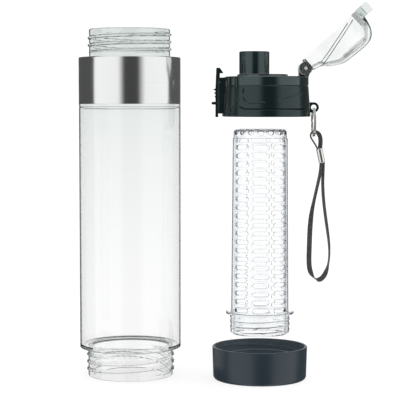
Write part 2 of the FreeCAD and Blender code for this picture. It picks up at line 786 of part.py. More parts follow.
def make_flip_cover():
    """Clear cover with two hinge knuckles and a notched tip, and the seal under its dome."""
    outer = cover_block("cover_outer", "0")
    inner = cover_block("cover_inner", "cover_wall")
    room = part_box("cover_mouth", "-cover_length + cover_wall", "-cover_tip_half", "cover_rim - overrun",
                    "cover_length - cover_heel - 2 * cover_wall", "2 * cover_tip_half", "overrun")
    shell = cut("cover_shell", outer, join("cover_room", [inner, room]))
    knuckles = [
        part_cylinder("knuckle_front", "0", "-knuckle_end", "0", "knuckle_radius", "knuckle_width"),
        part_cylinder("knuckle_rear", "0", "knuckle_start", "0", "knuckle_radius", "knuckle_width"),
    ]
    tip = part_box("cover_tip", "-tip_u", "-cover_tip_half", "cover_rim",
                   "tip_reach + tip_bite", "2 * cover_tip_half", "tip_rise - cover_rim")
    solid = join("cover_solid", [shell, tip] + knuckles)
    gaps = [
        part_box("ear_room", "-ear_radius - ear_gap", "-knuckle_start", "-knuckle_radius - overrun",
                 "ear_radius + ear_gap + knuckle_radius + overrun", "2 * knuckle_start",
                 "2 * knuckle_radius + 2 * overrun"),
        part_box("latch_room", "-tip_u - overrun", "-notch_half", "cover_rim - overrun",
                 "tip_u + overrun - notch_u", "2 * notch_half", "tip_rise - cover_rim + 2 * overrun"),
        part_box("hook_room", "-tip_u - overrun", "-notch_half", "cover_rim + tip_lip",
                 "tip_u + overrun - hook_room_u", "2 * notch_half", "tip_rise - cover_rim + overrun"),
        part_cylinder("knuckle_hole", "0", "-knuckle_end - overrun", "0",
                      "hinge_pin_radius + pin_clearance", "2 * knuckle_end + 2 * overrun"),
    ]
    cover = cut("flip_cover", solid, join("cover_gaps", gaps))
    disc = doc.addObject("Part::Cylinder", "seal_disc")
    bind(disc, Radius="seal_radius", Height="cover_dome")
    place(disc, "-seal_u", "seal_bottom")
    seal = doc.addObject("Part::Common", "spout_seal")
    seal.Base = disc
    seal.Tool = inner
    for item in (cover, seal):
        item.Label = item.Name
        place(item, "lid_stand_x + hinge_x", "lid_stand_z + hinge_z", turn="cover_open_angle")
    return [cover, seal]


def make_pin(label, x, z, radius, half):
    pin = part_cylinder(label, x, f"-({half})", z, radius, f"2 * ({half})")
    pin.Label = label
    return pin


def make_latch():
    """Rocker with a hook over the cover's tip, grip ribs and a thumb nub, seen from the front."""
    body = new_body("latch", "lid_stand_x", "lid_stand_z")
    ribs = []
    for number in range(int(size("rib_count"))):
        centre = f"rib_z - {number} * rib_pitch"
        ribs.insert(0, ("-latch_face", f"{centre} + rib_half"))
        ribs.insert(0, (f"-latch_face - rib_reach + {number} * rib_step", centre))
        ribs.insert(0, ("-latch_face", f"{centre} - rib_half"))
    sketch = new_sketch(body, "latch_outline", "XZ_Plane")
    outline(sketch, [
        ("-hook_face", "hook_top"),
        ("-pivot_x", "hook_top"),
        ("-hook_tip", "hook_under + hook_nose"),
        ("-hook_tip", "hook_under"),
        ("-pivot_x", "hook_under"),
        ("-pivot_x", "pivot_z"),
        ("-latch_back", "latch_bend_z"),
        ("-latch_back", "-latch_tail"),
        ("-latch_face", "-latch_tail"),
        ("-latch_face", "nub_z - nub_half"),
        ("-latch_face - nub_reach + nub_half", "nub_z - nub_half", "nub_half", "left"),
        ("-latch_face - nub_reach", "nub_z", "nub_half", "left"),
        ("-latch_face - nub_reach + nub_half", "nub_z + nub_half"),
        ("-latch_face", "nub_z + nub_half"),
    ] + ribs)
    pad(body, "rocker", sketch, "2 * latch_half", symmetric=True)
    boss = new_sketch(body, "pivot_boss_outline", "XZ_Plane")
    circle(boss, "-pivot_x", "pivot_z", "pivot_boss")
    pad(body, "pivot_boss_pad", boss, "2 * latch_half", symmetric=True)
    hole = new_sketch(body, "pivot_hole_outline", "XZ_Plane")
    circle(hole, "-pivot_x", "pivot_z", "latch_pin_radius + pin_clearance")
    pocket(body, "pivot_hole", hole, "4 * latch_half", symmetric=True)
    room = new_sketch(body, "spring_room_outline", "XZ_Plane")
    outline(room, rectangle("-pivot_x - pivot_boss", "pivot_z - spring_leg - pivot_boss",
                            "-pivot_x + pivot_boss + spring_wire", "pivot_z + pivot_boss + spring_wire"))
    pocket(body, "spring_room", room, "2 * spring_pocket_half", symmetric=True)
    return body


def make_latch_spring():
    """Torsion spring on the latch pin: a coil along Y, with one leg down the back of the latch."""
    radius = size("spring_radius - spring_wire")
    rise = size("spring_pitch")
    turns = int(size("spring_turns"))
    start = -rise * turns / 2

    def on_coil(turn):
        angle = 2 * math.pi * turn
        return FreeCAD.Vector(-radius * math.cos(angle), start + rise * turn, radius * math.sin(angle))

    quarters = range(4 * turns)
    arcs = [Part.Arc(on_coil(q / 4), on_coil(q / 4 + 0.125), on_coil(q / 4 + 0.25)) for q in quarters]
    edges = [arc.toShape() for arc in arcs]
    leg_end = on_coil(0) + FreeCAD.Vector(0, 0, -size("spring_leg"))
    edges.insert(0, Part.LineSegment(leg_end, on_coil(0)).toShape())
    path = Part.Wire(edges)
    section = Part.Wire(Part.Circle(leg_end, FreeCAD.Vector(0, 0, 1), size("spring_wire")).toShape())
    shell = Part.BRepOffsetAPI.MakePipeShell(path)
    shell.add(section)
    shell.build()
    shell.makeSolid()
    spring = doc.addObject("Part::Feature", "latch_spring")
    spring.Shape = shell.shape()
    place(spring, "lid_stand_x - pivot_x", "lid_stand_z + pivot_z")
    gap = min((on_coil(t / 32 + 1) - on_coil(t / 32)).Length for t in range(32 * (turns - 1)))
    print(f"latch_spring least gap {gap - 2 * size('spring_wire'):.2f} mm")
    return spring


def make_strap_ring():
    """Split ring hanging in the eyelet."""
    ring = doc.addObject("Part::Torus", "strap_ring")
    ring.Label = "strap_ring"
    bind(ring, Radius1="ring_radius", Radius2="ring_wire")
    facing = FreeCAD.Rotation(FreeCAD.Vector(0, 0, 1), size("ring_yaw_angle"))
    upright = FreeCAD.Rotation(FreeCAD.Vector(0, 1, 0), 90)
    ring.Placement = FreeCAD.Placement(FreeCAD.Vector(), facing.multiply(upright))
    ring.setExpression("Placement.Base.x", bound("ring_x"))
    ring.setExpression("Placement.Base.z", bound("ring_z"))
    return ring


def rounded_path(route):
    """Straight runs joined by tangent arcs as large as the runs allow, with the arcs' radii."""
    points = [FreeCAD.Vector(x, 0, z) for x, z in route]
    edges = []
    radii = []
    run_start = points[0]
    run_share = 0.45
    for before, corner, after in zip(points, points[1:], points[2:]):
        inward = (before - corner).normalize()
        onward = (after - corner).normalize()
        half_turn = (math.pi - inward.getAngle(onward)) / 2
        reach = run_share * min((before - corner).Length, (after - corner).Length)
        radius = reach / math.tan(half_turn)
        arc_start = corner + inward * reach
        arc_end = corner + onward * reach
        bisector = (inward + onward).normalize()
        middle = corner + bisector * (radius / math.cos(half_turn) - radius)
        edges.append(Part.LineSegment(run_start, arc_start).toShape())
        edges.append(Part.Arc(arc_start, middle, arc_end).toShape())
        radii.append(radius)
        run_start = arc_end
    edges.append(Part.LineSegment(run_start, points[-1]).toShape())
    return Part.Wire(edges), radii


def make_cord(label, route):
    """Flat cord along its route, its width across the route's plane."""
    path, radii = rounded_path(route)
    start = FreeCAD.Vector(route[0][0], 0, route[0][1])
    along = (FreeCAD.Vector(route[1][0], 0, route[1][1]) - start).normalize()
    half_thickness = FreeCAD.Vector(along.z, 0, -along.x) * size("strap_thickness / 2")
    half_width = FreeCAD.Vector(0, size("strap_width / 2"), 0)
    corners = [
        start + half_thickness + half_width,
        start + half_thickness - half_width,
        start - half_thickness - half_width,
        start - half_thickness + half_width,
    ]
    shell = Part.BRepOffsetAPI.MakePipeShell(path)
    shell.setBiNormalMode(FreeCAD.Vector(0, 1, 0))
    shell.add(Part.makePolygon(corners + corners[:1]))
    shell.build()
    shell.makeSolid()
    cord = doc.addObject("Part::Feature", label)
    cord.Shape = shell.shape()
    place(cord, "ring_x", "strap_z")
    expected = path.Length * size("strap_width * strap_thickness")
    print(f"{label} length {path.Length:.1f} mm, volume {cord.Shape.Volume:.1f} of {expected:.1f} mm3,"
          f" radii {min(radii):.1f} to {max(radii):.1f} mm")
    return cord


def make_ferrule():
    """Crimped sleeve of flattened section round the strap's cords."""
    body = new_body("strap_ferrule", "ring_x + ferrule_x", "strap_z - ferrule_drop", turn="-ferrule_lean_angle")
    sketch = new_sketch(body, "ferrule_outline", "XY_Plane")
    flat = "(ferrule_width - ferrule_depth) / 2"
    half = "ferrule_depth / 2"
    outline(sketch, [
        (f"-{flat}", f"-{half}"),
        (flat, f"-{half}", half, "right"),
        (f"{flat} + {half}", "0", half, "right"),
        (flat, half),
        (f"-{flat}", half, half, "right"),
        (f"-{flat} - {half}", "0", half, "right"),
    ])
    feature = pad(body, "sleeve", sketch, "ferrule_length")
    feature.Reversed = True
    doc.recompute()
    return body


def make_all():
    """Every sub-part of the object, in the order of the parts list."""
    base_gasket = make_ring("base_gasket", "base_bore - gasket_overhang", "base_neck_radius + gasket_overhang",
                            "cap_floor", "cap_floor + base_gasket_thickness", "base_stand_x", y="base_stand_y")
    lid_gasket = make_ring("lid_gasket", "top_bore - gasket_overhang", "top_neck_radius",
                           "rim_stop", "step_z", "lid_stand_x", "lid_stand_z")
    parts = [
        make_bottle_body(),
        make_steel_band(),
        make_base_cap(),
        base_gasket,
        make_infuser_basket(),
        make_infuser_crown(),
        make_lid_shell(),
        lid_gasket,
        make_spout(),
        make_pin("hinge_pin", "lid_stand_x + hinge_x", "lid_stand_z + hinge_z",
                 "hinge_pin_radius", "knuckle_end"),
        make_latch(),
        make_pin("latch_pin", "lid_stand_x - pivot_x", "lid_stand_z + pivot_z",
                 "latch_pin_radius", "cheek_outer"),
        make_latch_spring(),
        make_strap_ring(),
        make_cord("strap_loop", LOOP_ROUTE),
        make_ferrule(),
        make_cord("strap_webbing", WEBBING_ROUTE),
    ]
    return parts + make_flip_cover()


def check_and_export(parts):
    """Stop on any failed object or bad shape, then write one file per sub-part."""
    doc.recompute()
    failed = [item.Name for item in doc.Objects if "Invalid" in item.State or "Error" in item.State]
    if failed:
        raise RuntimeError("failed: " + ", ".join(failed))
    for part in parts:
        if part.Shape.isNull() or not part.Shape.isValid():
            raise RuntimeError(part.Label + " has no valid shape")
    os.makedirs("parts", exist_ok=True)
    for part in parts:
        part.Shape.exportStep(f"parts/{part.Label}.step")
        box = part.Shape.BoundBox
        print(f"{part.Label}: {len(part.Shape.Solids)} solid, {part.Shape.Volume:.1f} mm3,"
              f" z {box.ZMin:.2f} to {box.ZMax:.2f}")


fill_sheet()
check_and_export(make_all())
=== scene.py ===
import json
import math

import bmesh
import bpy
from mathutils import Matrix, Vector

# Fruit infuser water bottle in a white studio, taken apart as for washing.
# Metres, +Z up, the camera on the -Y side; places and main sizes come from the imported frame.
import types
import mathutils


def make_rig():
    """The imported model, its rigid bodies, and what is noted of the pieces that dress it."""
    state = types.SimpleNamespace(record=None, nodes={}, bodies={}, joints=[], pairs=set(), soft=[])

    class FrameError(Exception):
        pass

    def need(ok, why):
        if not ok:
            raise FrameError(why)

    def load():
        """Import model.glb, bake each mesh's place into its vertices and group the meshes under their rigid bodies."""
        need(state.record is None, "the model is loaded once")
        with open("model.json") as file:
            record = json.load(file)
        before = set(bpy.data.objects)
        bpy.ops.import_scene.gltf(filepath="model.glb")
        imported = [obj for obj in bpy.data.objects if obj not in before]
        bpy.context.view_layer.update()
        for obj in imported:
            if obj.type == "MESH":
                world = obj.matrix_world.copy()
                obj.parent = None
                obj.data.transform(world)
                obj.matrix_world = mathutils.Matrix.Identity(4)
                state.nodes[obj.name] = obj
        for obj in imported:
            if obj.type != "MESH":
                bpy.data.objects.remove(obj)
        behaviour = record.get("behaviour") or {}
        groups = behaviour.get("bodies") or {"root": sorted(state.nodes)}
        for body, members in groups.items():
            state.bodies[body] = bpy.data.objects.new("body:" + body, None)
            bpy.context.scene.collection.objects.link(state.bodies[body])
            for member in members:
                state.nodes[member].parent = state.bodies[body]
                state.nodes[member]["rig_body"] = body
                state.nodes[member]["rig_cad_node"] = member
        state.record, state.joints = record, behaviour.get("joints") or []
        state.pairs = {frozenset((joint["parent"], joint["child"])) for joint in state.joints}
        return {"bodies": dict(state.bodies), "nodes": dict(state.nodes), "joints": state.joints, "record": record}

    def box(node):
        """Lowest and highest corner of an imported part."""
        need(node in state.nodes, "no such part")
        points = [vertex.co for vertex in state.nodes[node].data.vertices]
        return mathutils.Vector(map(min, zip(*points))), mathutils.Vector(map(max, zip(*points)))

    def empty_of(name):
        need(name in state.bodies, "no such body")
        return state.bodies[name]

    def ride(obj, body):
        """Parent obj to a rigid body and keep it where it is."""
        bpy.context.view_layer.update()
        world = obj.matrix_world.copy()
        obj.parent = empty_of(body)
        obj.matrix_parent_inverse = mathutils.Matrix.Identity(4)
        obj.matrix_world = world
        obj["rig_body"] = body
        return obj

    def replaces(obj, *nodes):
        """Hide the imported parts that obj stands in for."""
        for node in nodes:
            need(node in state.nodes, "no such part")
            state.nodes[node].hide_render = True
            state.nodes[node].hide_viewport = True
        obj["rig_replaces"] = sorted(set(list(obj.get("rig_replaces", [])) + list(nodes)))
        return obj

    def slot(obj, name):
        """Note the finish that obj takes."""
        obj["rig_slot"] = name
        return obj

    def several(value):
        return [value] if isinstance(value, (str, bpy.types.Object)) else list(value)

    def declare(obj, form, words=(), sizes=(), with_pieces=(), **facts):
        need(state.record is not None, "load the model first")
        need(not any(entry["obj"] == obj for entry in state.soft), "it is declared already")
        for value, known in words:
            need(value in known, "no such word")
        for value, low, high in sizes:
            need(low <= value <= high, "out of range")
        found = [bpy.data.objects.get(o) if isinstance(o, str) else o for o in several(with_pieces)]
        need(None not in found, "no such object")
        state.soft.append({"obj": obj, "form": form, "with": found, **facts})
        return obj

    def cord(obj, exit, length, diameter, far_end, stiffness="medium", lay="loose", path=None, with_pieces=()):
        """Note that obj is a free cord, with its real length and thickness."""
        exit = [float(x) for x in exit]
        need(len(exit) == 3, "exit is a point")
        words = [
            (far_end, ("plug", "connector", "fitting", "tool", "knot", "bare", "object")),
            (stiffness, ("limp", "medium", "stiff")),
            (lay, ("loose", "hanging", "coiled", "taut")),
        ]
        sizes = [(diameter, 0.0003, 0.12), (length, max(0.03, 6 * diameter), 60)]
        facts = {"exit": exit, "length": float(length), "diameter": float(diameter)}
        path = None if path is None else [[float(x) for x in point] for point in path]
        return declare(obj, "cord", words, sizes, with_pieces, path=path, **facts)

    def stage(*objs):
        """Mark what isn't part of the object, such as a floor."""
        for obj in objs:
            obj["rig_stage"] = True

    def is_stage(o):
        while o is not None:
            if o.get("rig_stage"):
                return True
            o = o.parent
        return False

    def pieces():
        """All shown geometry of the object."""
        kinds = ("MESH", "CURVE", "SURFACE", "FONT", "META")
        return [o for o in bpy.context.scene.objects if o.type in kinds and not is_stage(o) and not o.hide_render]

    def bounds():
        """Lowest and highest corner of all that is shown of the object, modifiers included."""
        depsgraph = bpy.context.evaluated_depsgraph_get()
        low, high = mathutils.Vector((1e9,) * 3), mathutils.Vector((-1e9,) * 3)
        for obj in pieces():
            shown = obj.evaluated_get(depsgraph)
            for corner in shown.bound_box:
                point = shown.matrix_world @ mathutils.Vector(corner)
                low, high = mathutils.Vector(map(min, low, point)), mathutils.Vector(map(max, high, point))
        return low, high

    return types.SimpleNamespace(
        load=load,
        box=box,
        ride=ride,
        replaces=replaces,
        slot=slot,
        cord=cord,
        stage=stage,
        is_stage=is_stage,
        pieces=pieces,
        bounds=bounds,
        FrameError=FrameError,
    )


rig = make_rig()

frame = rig.load()
CAD_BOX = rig.bounds()
MM = 0.001
TURN = 2 * math.pi
SEGMENTS = 192
BOTTLE_SEGMENTS = 288
BASKET_SEGMENTS = 192
LID_SEGMENTS = 512
ROD_SEGMENTS = 48
ROUND_STEPS = 5
SLAB_STEPS = 8
BEVEL_SEGMENTS = 3
SHARP_ANGLE = math.radians(35)
FLAT_ANGLE = math.radians(0.5)
MERGE_DISTANCE = 1e-6
# Face attribute that tells clear materials where to paint shade, and the limits by which faces are picked for it
EDGE_MARK = "edge_shade"
LEVEL_NORMAL = 0.93
WALL_NORMAL = 0.9
# Edge roundings, named by their tenths of a millimetre
ROUND_1, ROUND_2, ROUND_3, ROUND_4, ROUND_5, ROUND_6 = 0.0001, 0.0002, 0.0003, 0.0004, 0.0005, 0.0006
FIT_GAP = 0.0001
# The pieces were photographed one by one, so the others don't mirror the dark lid and base cap
UNMIRRORED_BODIES = ("lid", "rocker", "base")
MOUNTS = {mount["name"]: mount for mount in frame["record"]["mounts"]}
JOINTS = {joint["name"]: joint for joint in frame["joints"]}


def low(node):
    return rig.box(node)[0]


def high(node):
    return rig.box(node)[1]


def middle(node):
    return (low(node) + high(node)) / 2


def half_width(node):
    return (high(node).y - low(node).y) / 2


def mount_radius(name):
    return MOUNTS[name]["dims"]["r_mm"] * MM


def joint_place(name):
    return Vector(JOINTS[name]["pos_m"])


# Bottle; a thread or wall is given by where it starts and ends
BODY_RADIUS = half_width("bottle_body")
BODY_WALL = 0.0025
BODY_BORE = BODY_RADIUS - BODY_WALL
BOTTLE_TOP = high("bottle_body").z
TOP_NECK = mount_radius("top_neck")
TOP_BORE = mount_radius("bottle_mouth")
BASE_NECK = mount_radius("base_neck")
BASE_BORE = mount_radius("base_mouth")
BASE_SHOULDER = 0.0203
SHOULDER_SLOPE = 0.0012
BASE_SLOPE = 0.0003
BODY_ROUND = 0.0011
BODY_BORE_ROUND = 0.0015
NECK_BORE_ROUND = 0.0012
# Painted shade along the outer corner of the base shoulder, as a share of the edge colour
SHOULDER_SHADE = 0.55
RIM_ROUND = 0.0009
LEDGE = 0.0021
LEDGE_GROOVE = 0.0003
BAND_LOW = low("steel_band").z
BAND_HIGH = high("steel_band").z
BAND_RADIUS = half_width("steel_band")
BAND_SHEET = 0.0008
BAND_SEAT = BAND_RADIUS - BAND_SHEET - FIT_GAP
BAND_ROUND = 0.0007
SHOULDER = BAND_HIGH - BAND_SHEET - FIT_GAP
NECK_COLLAR = TOP_NECK + 0.0008
THREAD_DEPTH = 0.00095
THREAD_PITCH = 0.0052
THREAD_FADE = 0.0022
THREAD_STEP = 0.00026
RIDGE_HALF_SHARE = 0.25
RIDGE_FLANK_SHARE = 0.16
TOP_THREAD = (BAND_HIGH + 0.003, BOTTLE_TOP - 0.0018)
TOP_WALL = (BAND_HIGH, BOTTLE_TOP - 0.0016)
BASE_STARTS = 2
BASE_THREAD = (0.0022, BASE_SHOULDER - 0.0028)
BASE_WALL = (0.0016, BASE_SHOULDER - 0.0006)

# Base cap
BASE_AXIS = middle("base_cap").xy
CAP_RADIUS = half_width("base_cap")
CAP_TOP = high("base_cap").z
CAP_BOTTOM_RADIUS = CAP_RADIUS - 0.0007
CAP_FLOOR = 0.0024
CAP_RECESS = 0.0006
CAP_ROUND = 0.0025
CAP_FOOT = CAP_BOTTOM_RADIUS - CAP_ROUND - 0.004
CAP_BORE = 0.0318
CAP_LIP = 0.0006
CAP_RIDGE = 0.0004
CAP_THREAD = (CAP_FLOOR + 0.006, CAP_TOP - 0.0014)
CAP_WALL = (CAP_TOP - 0.0013, CAP_FLOOR + 0.005)
BOSS_BORE = 0.02235
BOSS_OUTER = 0.02435
BOSS_TOP = 0.0171
BASE_GASKET_BORE = 0.027

# Infuser
INFUSER_LOW = low("infuser_basket").z
TUBE_TOP = high("infuser_basket").z
FLANGE_RADIUS = half_width("infuser_basket")
FOOT_RADIUS = 0.0209
FOOT_TOP = INFUSER_LOW + 0.0144
FOOT_CHAMFER = 0.0012
FOOT_RIDGE = 0.0004
FOOT_PITCH = 0.0037
FOOT_THREAD = (INFUSER_LOW + FOOT_CHAMFER, FOOT_TOP - 0.001)
FLANGE_TOP = FOOT_TOP + 0.0012
TUBE_LOW_RADIUS = 0.0204
TUBE_HIGH_RADIUS = 0.0194
TUBE_WALL = 0.0017
SLOT_COLUMNS = 8
PLAIN_COLUMNS = (0, 4)
SLOT_ROWS = 20
SLOT_PITCH = 0.006
SLOT_MARGIN = 0.0024
SLOT_HALF_WIDTH = 0.006
SLOT_HALF_HEIGHT = 0.00155
SLOT_END_STEPS = 10
# Rings of a hole's wall: share of the depth, and how much wider the hole is there
HOLE_EDGE = 0.00012
HOLE_RINGS = ((0, HOLE_EDGE), (0.12, 0), (0.88, 0), (1, HOLE_EDGE))
CROWN_RADIUS = half_width("infuser_crown")
CROWN_TOP = high("infuser_crown").z
CROWN_LOW = low("infuser_crown").z
CROWN_ROUND = 0.003
CROWN_WALL = 0.0015
CROWN_SPIGOT = 0.0176
CROWN_HOLES = 16
CROWN_HOLE = 0.0019
CROWN_HOLE_STEPS = 16
HOLE_MIDDLE = 0.0006
HOLE_DROP = 0.0026
# Painted shade on the walls of the crown's holes, as a share of the edge colour
HOLE_SHADE = 0.8

# Lid; heights written out here count from its lower edge
LID_X = middle("lid_gasket").x
LID_Z = low("lid_shell").z
LID_RADIUS = half_width("lid_shell")
LID_TOP_RADIUS = 0.0302
LID_BORE = 0.0303
LID_STEP = 0.0004
LID_GASKET_BORE = 0.0257
COLLAR_BORE = 0.0293
CHAMBER_RADIUS = 0.0245
DECK = 0.0286
DECK_UNDER = 0.0262
DECK_ROUND = 0.0012
STEP_HEIGHT = 0.0211
BORE_DEPTH = 0.0162
LID_THREAD = (0.0014, BORE_DEPTH - 0.0012)
LID_WALL = (BORE_DEPTH - 0.0006, 0.0012)
TAPER_TOP = 0.0206
SKIRT_EDGE = 0.0008
GLOSS_NORMAL = -0.5
GROOVE_WIDTH = 0.0009
GROOVE_DEPTH = 0.0004
GROOVE_HIGH = 0.0218
SWOOSH_WIDTH = 0.001
SWOOSH_DEPTH = 0.0007
SWOOSH_FLANK = 0.0004
# Grooved lines of the skirt as seen from the front: corners (x, height, rounding) from the lid's axis
SWOOSHES = [
    [(-0.0224, DECK + SWOOSH_WIDTH, 0), (-0.0224, 0.0055, 0.0075), (0.0255, 0.0055, 0)],
    [(-0.0172, DECK + SWOOSH_WIDTH, 0), (-0.0172, 0.0102, 0.004), (-0.003, 0.0102, 0)],
    [(0.0082, 0.0115, 0), (0.024, 0.0165, 0)],
]
SPOUT_X = LID_X - 0.0086
SPOUT_RADIUS = 0.0108
SPOUT_BORE = 0.0088
SPOUT_TOP = high("spout").z
SPOUT_SPIGOT = 0.0104
HOLE_OVERRUN = 0.002
PLATE_X = LID_X - 0.0027
PLATE_RADIUS = half_width("spout")
PLATE_RISE = 0.0016
PLATE_HOLE = SPOUT_RADIUS - 0.0003
HINGE = joint_place("cover_hinge")
EAR_RADIUS = 0.0044
EAR_HALF = 0.0065
EAR_ROOT = 0.001
EAR_REAR = LID_X + LID_TOP_RADIUS - 0.0004
PIVOT = joint_place("latch_pivot")
CHEEK_INNER = 0.006
CHEEK_OUTER = 0.0082
CHEEK_FRONT = LID_X - 0.0346
CHEEK_ROOT = LID_X - LID_TOP_RADIUS + 0.0014
CHEEK_LOW_ROOT = LID_X - LID_BORE + 0.0005
CHEEK_LOW = 0.0022
CHEEK_LOW_ROUND = 0.001
CHEEK_HIGH = 0.0278
CHEEK_HIGH_ROUND = 0.0022
EYELET = joint_place("ring_swing")
EYELET_RADIUS = 0.0037
EYELET_HOLE = 0.00195
EYELET_HALF = 0.0015
EYELET_ROOT = 0.0005
PIN_RADIUS = 0.0012
PIN_CLEARANCE = 0.00005
PIN_ROUND = 0.0009
LATCH_PIN_RADIUS = 0.001
LATCH_ROUND = 0.00025

# Flip cover, measured from its hinge: along to the tip, and up with the cover shut
COVER_OPENING = Matrix.Rotation(-math.radians(JOINTS["cover_hinge"]["range_deg"][0]), 3, "Y")
COVER_HEEL = 0.003
COVER_LENGTH = 0.0553
COVER_DOME = 0.0179
COVER_RIM = -0.0053
COVER_WALL = 0.0016
COVER_TIP_HALF = 0.0095
COVER_BULGE = 0.0107
COVER_STEPS = 56
COVER_SIDE_STEPS = 10
COVER_DOME_STEPS = 26
COVER_PLAN_POWER = 0.8
COVER_ROUND_POWER = 0.42
COVER_LEAN_SHARE = 0.09
END_START = 0.6
END_SPAN = 1 / 3
END_THICKENING = 0.0018
CREASE_START = 0.0085
CREASE_END = 0.047
CREASE_START_RISE = 0.0066
CREASE_END_RISE = -0.0026
CREASE_STEP = 0.0005
CREASE_WIDTH = 0.0006
CREASE_FADE = 0.08
CREASE_LIMIT = 0.96
KNUCKLE_RADIUS = 0.0047
KNUCKLE_START = 0.0069
KNUCKLE_END = 0.0101
KNUCKLE_PROUD = 0.00005
EAR_ROOM = EAR_RADIUS + 0.0005
TIP_LENGTH = 0.0631
TIP_RISE = 0.0021
LIP_RISE = 0.0017
LIP_OVERLAP = 0.0005
NOTCH_HALF = 0.006
NOTCH_START = 0.0577
NOTCH_LIP = 0.0586
# Height of the dome along the cover, as shares of its length and height
DOME_SHARES = [
    (0.05, 0.28), (0.12, 0.33), (0.19, 0.42), (0.235, 0.575), (0.35, 0.82), (0.42, 0.91),
    (0.54, 0.955), (0.68, 0.985), (0.80, 0.985), (0.88, 0.91), (0.94, 0.74), (0.975, 0.52), (1.0, 0.19),
]

# Strap: its routes in the XZ plane from the lowest point of the ring's wire, and the turns in degrees
# that each band makes about its own line, by shares of its length
STRAP_TOP = joint_place("strap_swing")
STRAP_WIDTH = 0.0036
STRAP_THICKNESS = 0.0009
ROUTE_RESOLUTION = 12
BAND_SIDES = 16
FLAT_POWER = 0.45
LOOP_ROUTE = [
    (0.0033, -0.0102), (0.0019, -0.0072), (-0.0002, -0.0039), (-0.0020, -0.0012), (-0.0022, 0.0014),
    (-0.0003, 0.0032), (0.0026, 0.0027), (0.0045, 0.0003), (0.0051, -0.0029), (0.0050, -0.0062),
    (0.0046, -0.0102),
]
LOOP_TURNS = [(0, 12), (0.45, 12), (0.7, 50), (1, 50)]
WEBBING_ROUTE = [
    (0.0056, -0.0189), (0.0053, -0.0250), (0.0034, -0.0340), (0.0009, -0.0450), (-0.0013, -0.0560),
    (-0.0023, -0.0680), (-0.0026, -0.0800), (-0.0029, -0.0900), (-0.0022, -0.0970), (0.0006, -0.1023),
    (0.0046, -0.1040), (0.0078, -0.1015), (0.0104, -0.0960), (0.0118, -0.0880), (0.0118, -0.0790),
    (0.0104, -0.0680), (0.0086, -0.0560), (0.0073, -0.0450), (0.0067, -0.0340), (0.0070, -0.0250),
    (0.0071, -0.0189),
]
WEBBING_TURNS = [
    (0, 28), (0.12, 26), (0.27, 86), (0.38, 82), (0.465, 0), (0.5, -58), (0.54, -80), (0.64, -8),
    (0.8, -26), (1, -28),
]
RING_RADIUS = 0.0098
RING_WIRE = 0.00085
RING_HALF_WIDE = RING_WIRE * 0.94
RING_HALF_THICK = RING_WIRE * 0.47
RING_SIDES = 12
RING_STEPS = 96
RING_YAW = math.radians(2)
RING_CROSSING = 0.94
RING_CROSSING_SPAN = 0.12
FERRULE_TOP = STRAP_TOP + Vector((0.0041, 0, -0.0091))
FERRULE_LEAN = math.radians(12)
FERRULE_HALF_WIDTH = 0.0023
FERRULE_HALF_DEPTH = 0.0021
FERRULE_LENGTH = 0.0104
FERRULE_SIDES = 32
FERRULE_POWER = 0.85
FERRULE_SHARES = [
    (0, 0.84), (0.02, 0.93), (0.05, 0.985), (0.09, 1), (0.91, 1), (0.95, 0.985), (0.98, 0.93), (1, 0.84),
]

# Looks; softboxes and backdrop are (angle in degrees, brightness) pairs round and up the studio
WHITE = (1, 1, 1, 1)
CLEAR_IOR = 1.47
LID_GLOSS_TINT = (0.8, 1, 1, 1)
GLOSS_SPREAD = 0.2
SHADE_SPREAD = 0.12
BUMP_DEPTH = 0.0001
BRUSH_STRETCH = (14, 14, 2600)
BRUSH_SPREAD = 0.3
BRUSH_DARK = 0.9
WEAVE_DEPTH = 0.0002
WEAVE_DARK = 0.6
WEAVE_LIGHT = 1.5
FADE_POWER = 2
WHITE_STRENGTH = 1.08
OVERHEAD_START = 0.75
OVERHEAD_FULL = 0.9
SOFTBOXES = [
    (-180, 1.05), (-168, 1.05), (-160, 0.1), (-87, 0.1), (-82, 1.3), (-23, 1.25), (-10, 0.07), (21, 0.07),
    (37, 1.25), (97, 1.3), (102, 0.13), (160, 0.12), (168, 1.05), (180, 1.05),
]
BACKDROP = [(-90, 1.08), (14, 1.08), (22, 0.3), (45, 0.3), (60, 1.05), (90, 1.05)]
FLOOR_HALF = 6
FLOOR_GLOW = 0.8
FLOOR_DARK = 0.25
FLOOR_LIGHT = 0.27
CLEAR_BOUNCES = 48
CAMERA_LENS = 131
CAMERA_PLACE = Vector((0.0501, -1.042, 0.196))
CAMERA_AIM = Vector((0.0501, 0, 0.1261))


def clamp(value):
    return min(max(value, 0), 1)


def ease(value):
    """Smooth step from 0 to 1."""
    share = clamp(value)
    return share * share * (3 - 2 * share)


def blend(start, end, share):
    return start + (end - start) * share


def same(one, other):
    return abs(one - other) < MERGE_DISTANCE


def polar(radius, angle, height):
    return Vector((radius * math.cos(angle), radius * math.sin(angle), height))


def smooth(mesh):
    """Smooth-shade a mesh, but leave corners sharper than SHARP_ANGLE crisp."""
    for polygon in mesh.polygons:
        polygon.use_smooth = True
    mesh.set_sharp_from_angle(angle=SHARP_ANGLE)


def link_mesh(name, mesh):
    smooth(mesh)
    piece = bpy.data.objects.new(name, mesh)
    bpy.context.scene.collection.objects.link(piece)
    return piece


def link_work(name, work):
    """A mesh object from a bmesh, which is freed."""
    mesh = bpy.data.meshes.new(name)
    work.to_mesh(mesh)
    work.free()
    return link_mesh(name, mesh)


def dress(piece, body, slot, material, *nodes):
    """Put a material on a piece, set it on its body and let it stand for its nodes."""
    piece.visible_glossy = body not in UNMIRRORED_BODIES
    piece.data.materials.clear()
    piece.data.materials.append(material)
    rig.ride(piece, body)
    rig.slot(piece, slot)
    if nodes:
        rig.replaces(piece, *nodes)
    return piece


def mark_edges(piece, shade):
    """Tell a clear piece's material how much painted shade each face takes: 1 as dark as its painted edges, -1 never
    darkened.
    """
    marks = piece.data.attributes.new(EDGE_MARK, "FLOAT", "FACE")
    for polygon in piece.data.polygons:
        marks.data[polygon.index].value = shade(polygon)


